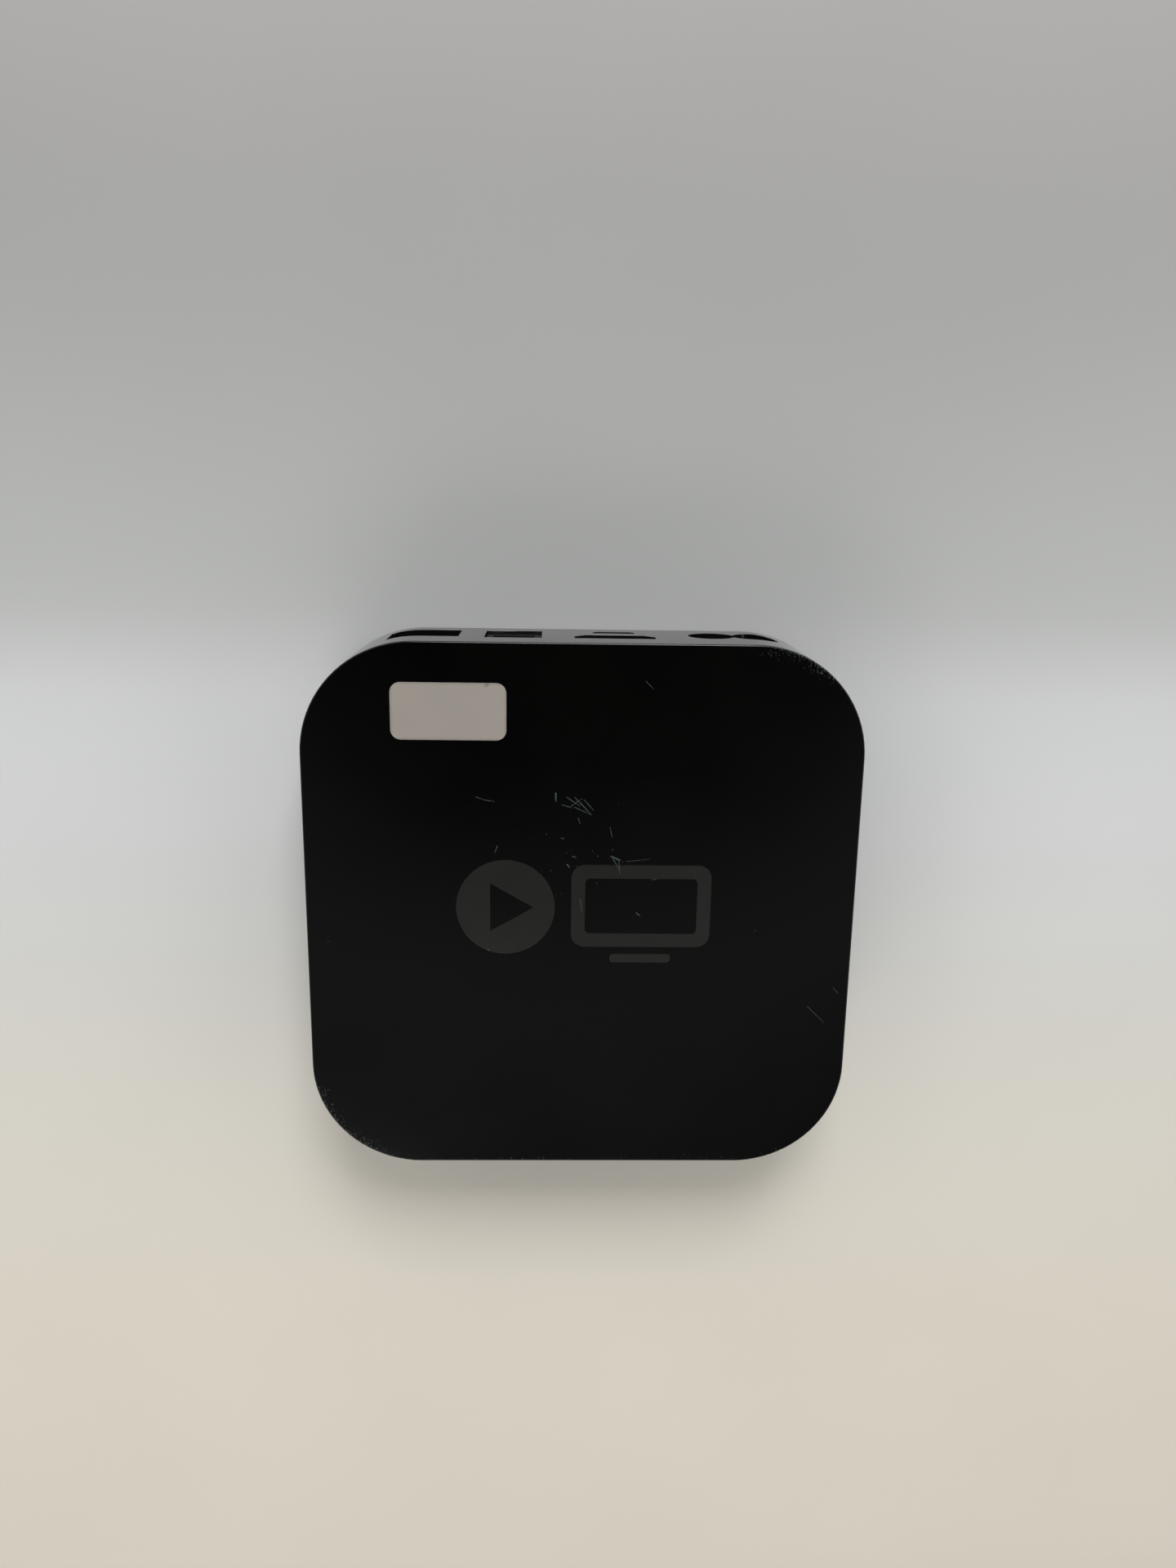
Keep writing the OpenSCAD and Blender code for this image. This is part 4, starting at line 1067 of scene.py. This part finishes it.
def sleeve_finish():
    """Shrunk sleeve: dark, glossy, with the soft ripples of shrinking."""
    f = Finish("capacitor_sleeve")
    place = f.place()
    ripple = f.noise(f.stretched(place, 3.0, 3.0, 1.0), 2.4 * MM, 3, 0.5)
    cloud = f.span(f.noise(place, 5 * MM, 3), 0.3, 0.7)
    f.set("Base Color", f.blend(cloud, tone(0.014, 0.022, 0.060), tone(0.022, 0.034, 0.085)))
    f.set("Roughness", f.span(ripple, 0.3, 0.7, 0.20, 0.32))
    f.set("Normal", f.bump(ripple, 0.02 * MM))
    return f.material


capacitor_sleeve = sleeve_finish()

# %% Board parts
EASED_PARTS = [
    # CAD node, piece, width of the eased edge, finish
    ("heat_spreader", "heat_spreader_casting", 0.15, cast_alloy),
    ("processor", "processor_package", 0.08, chip_resin),
    ("memory_chip", "memory_package", 0.08, chip_resin),
    ("processor_pad", "processor_gap_pad", 0.12, thermal_gel),
    ("spreader_pad", "spreader_gap_pad", 0.15, thermal_gel),
    ("processor_shield", "processor_shield_can", 0.08, tin_plate),
    ("radio_module", "radio_module_can", 0.12, tin_plate),
    ("board_inductors", "board_inductor_set", 0.15, ferrite),
    ("network_transformer", "network_transformer_package", 0.15, chip_resin),
    ("logic_power_header", "logic_header_housing", 0.08, header_nylon),
    ("supply_header", "supply_header_housing", 0.08, header_nylon),
    ("transformer_core", "transformer_ferrite", 0.15, ferrite),
    ("transformer_winding", "transformer_coils", 0.12, winding_tape),
    ("filter_capacitor", "filter_capacitor_box", 0.20, film_box),
    ("fuse", "fuse_cartridge", 0.10, fuse_body),
    ("bridge_rectifier", "rectifier_package", 0.15, chip_resin),
    ("switch_transistor", "transistor_and_plate", 0.08, sink_plate),
]
for node, name, width, finish in EASED_PARTS:
    refined(node, name, width, finish)


def sleeve_or_end(axis):
    """Finish 1 on the faces that look along the axis, and 0 on the sleeve around it."""
    return lambda face: 1 if abs(face.normal[axis]) > 0.6 else 0


refined("output_capacitors", "output_capacitor_set", 0.15, capacitor_sleeve, can_end, paint=sleeve_or_end(2))
refined("bulk_capacitor", "bulk_capacitor_can", 0.20, capacitor_sleeve, can_end, paint=sleeve_or_end(1))
refined("board_capacitors", "board_capacitor_set", 0.12, can_end)

# %% [markdown]
# ## The choke
# A mains choke is a ferrite ring with wire wound through its middle. The wire follows a rule,
# so a tree makes it: a rounded loop of round wire is put at equal angles around the ring. The
# two halves of the winding leave a gap at each side, where the loops are left out.

# %% Winding the choke
CHOKE_LOW, CHOKE_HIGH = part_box("mains_choke")
RING_OUT, RING_IN, RING_H = 5.6, 2.6, 4.0
WIRE_R = 0.42


def make_turn_tree():
    """Rounded loops of wire at equal angles around the Y axis."""
    tree, w = new_tree("choke_turns", Turns="Int", Radius="Float", Width="Float", Height="Float",
                       Wire="Float", Centre="Vector")
    circle = w.node("GeometryNodeCurvePrimitiveCircle", {
        "Resolution": w.given["Turns"], "Radius": w.given["Radius"]})
    loop = w.node("GeometryNodeCurvePrimitiveQuadrilateral", {
        "Width": w.given["Width"], "Height": w.given["Height"]})
    bend = w.math("MULTIPLY", w.given["Wire"], 2.2)
    fillet = w.tree.nodes.new("GeometryNodeFilletCurve")
    fillet.mode = "POLY"
    w.feed(fillet.inputs["Curve"], loop)
    w.feed(fillet.inputs["Radius"], bend)
    fillet.inputs["Count"].default_value = 4
    section = w.node("GeometryNodeCurvePrimitiveCircle", {"Resolution": 10, "Radius": w.given["Wire"]})
    wire = w.node("GeometryNodeCurveToMesh", {"Curve": fillet.outputs[0], "Profile Curve": section})
    points = w.node("GeometryNodeCurveToPoints", {"Curve": circle}, mode="EVALUATED")
    angle = w.math("MULTIPLY", w.node("GeometryNodeInputIndex"),
                   w.math("DIVIDE", 2 * math.pi, w.given["Turns"]))
    turned = w.node("ShaderNodeCombineXYZ", {2: angle})
    every_half = w.math("MODULO", w.node("GeometryNodeInputIndex"), w.math("DIVIDE", w.given["Turns"], 2.0))
    wound = w.math("GREATER_THAN", every_half, 0.5)
    upright = w.node("GeometryNodeTransform", {"Geometry": wire, "Rotation": (math.pi / 2, 0, 0)})
    turns = w.node("GeometryNodeInstanceOnPoints", {
        "Points": points, "Selection": wound, "Instance": upright, "Rotation": turned})
    placed = w.node("GeometryNodeTransform", {
        "Geometry": turns, "Translation": w.given["Centre"], "Rotation": (math.pi / 2, 0, 0)})
    close_tree(w, placed)
    return tree


def choke_core():
    """The ferrite ring, turned from a rounded section, on its moulded foot."""
    bm = bmesh.new()
    half = RING_H / 2
    section = [(RING_IN, -half), (RING_OUT, -half), (RING_OUT, half), (RING_IN, half)]
    turned = [bm.verts.new(at(r, y, 0)) for r, y in section]
    edges = [bm.edges.new((turned[i], turned[(i + 1) % 4])) for i in range(4)]
    bmesh.ops.spin(bm, geom=edges + turned, axis=(0, 1, 0), cent=(0, 0, 0), steps=64, angle=2 * math.pi)
    bmesh.ops.remove_doubles(bm, verts=bm.verts, dist=0.001 * MM)
    centre = (CHOKE_LOW + CHOKE_HIGH) / 2
    ring_z = CHOKE_HIGH.z - RING_OUT * MM
    bmesh.ops.translate(bm, verts=bm.verts, vec=(centre.x, centre.y, ring_z))
    foot_h = 1.6 * MM
    foot = bmesh.ops.create_cube(bm, size=1)["verts"]
    bmesh.ops.scale(bm, verts=foot, vec=(6 * MM, 3.8 * MM, foot_h))
    bmesh.ops.translate(bm, verts=foot, vec=(centre.x, centre.y, CHOKE_LOW.z + foot_h / 2))
    bmesh.ops.recalc_face_normals(bm, faces=bm.faces)
    eased(bm, 0.3)
    return bm, Vector((centre.x, centre.y, ring_z))


core, ring_centre = choke_core()
loop_reach = (RING_OUT + RING_IN) / 2
turns = grown(make_turn_tree(), bpy.data.meshes.new("none"), Turns=12, Radius=loop_reach * MM,
              Width=(RING_OUT - RING_IN + 1.1) * MM, Height=(RING_H + 0.8) * MM, Wire=WIRE_R * MM,
              Centre=ring_centre, Finish=enamelled_wire)
first_turn = len(core.faces)
core.from_mesh(turns)
core.faces.ensure_lookup_table()
for face in core.faces[first_turn:]:
    face.material_index = 1
wound = shaded(to_mesh(core, "mains_choke_wound"))
finished("mains_choke_wound", wound, ["mains_choke"], ferrite, enamelled_wire)

# %% [markdown]
# ## Everything else keeps its CAD shape
# Round wires, foils, films and small lenses are already the right shape in the frame, so they
# keep it and only get their finish. The finish is found by the record's slot name. A wire's
# jacket is smooth and glossy, a foil is creased copper, and the flat ribbon shows its
# conductors as stripes under amber film.

# %% Finishes of the remaining parts
def stripes_finish(name, film, conductor, pitch=0.4):
    """Parallel conductors along X seen through a film; pitch is in millimetres."""
    f = Finish(name, IOR=1.6)
    place = f.place()
    across = f.node("ShaderNodeSeparateXYZ", {0: place}, output=1)
    line = f.span(f.math("PINGPONG", across, pitch / 2 * MM), 0.09 * MM, 0.12 * MM)
    cloud = f.span(f.noise(place, 3 * MM, 3), 0.3, 0.7)
    f.set("Base Color", f.blend(line, f.blend(cloud, scaled(film, 0.85), scaled(film, 1.15)), conductor))
    f.set("Roughness", f.span(cloud, 0.0, 1.0, 0.22, 0.34))
    f.set("Normal", f.bump(line, 0.008 * MM))
    return f.material


def clear_finish(name, colour, rough, through, **flat):
    """A clear or milky moulding, with flow marks in its gloss."""
    f = Finish(name, Transmission_Weight=through, **flat)
    place = f.place()
    flow = f.noise(f.stretched(place, 1.0, 2.5, 1.0), 1.2 * MM, 3)
    f.set("Base Color", f.blend(flow, colour, scaled(colour, 0.9)))
    f.set("Roughness", f.span(flow, 0.3, 0.7, rough, rough * 1.8))
    f.set("Normal", f.bump(flow, 0.002 * MM))
    return f.material


KEPT = {
    "insulator_film": moulded("insulator_film", tone(0.02), 0.30, grain=1.2, depth=0.01, vary=0.12, IOR=1.55),
    "antenna_foil": metal("antenna_foil", tone(0.78, 0.46, 0.28), 0.30, brushed=(5.0, 5.0, 5.0), stain=0.35),
    "cable_jacket": moulded("cable_jacket", tone(0.012), 0.30, grain=0.6, depth=0.004),
    "wire_red": moulded("wire_red", tone(0.36, 0.022, 0.016), 0.32, grain=0.6, depth=0.004, vary=0.12),
    "nickel_plate": nickel_plate,
    "screw_steel": screw_steel,
    "emitter_resin": clear_finish("emitter_resin", tone(0.50, 0.03, 0.03), 0.08, 0.5, IOR=1.55),
    "ir_lens": clear_finish("ir_lens", tone(0.045, 0.012, 0.045), 0.10, 0.3, IOR=1.55),
    "led_white": clear_finish("led_white", tone(0.85, 0.84, 0.78), 0.20, 0.2),
    "pipe_clear": clear_finish("pipe_clear", tone(0.90, 0.95, 0.96), 0.05, 0.95, IOR=1.49),
    "flex_film": stripes_finish("flex_film", tone(0.42, 0.20, 0.035), tone(0.60, 0.32, 0.10)),
}
for node, obj in nodes.items():
    if not obj.hide_render:
        obj.material_slots[0].material = KEPT[slot_of(node)]
        print(node, "keeps its shape, finish", obj.material_slots[0].material.name)
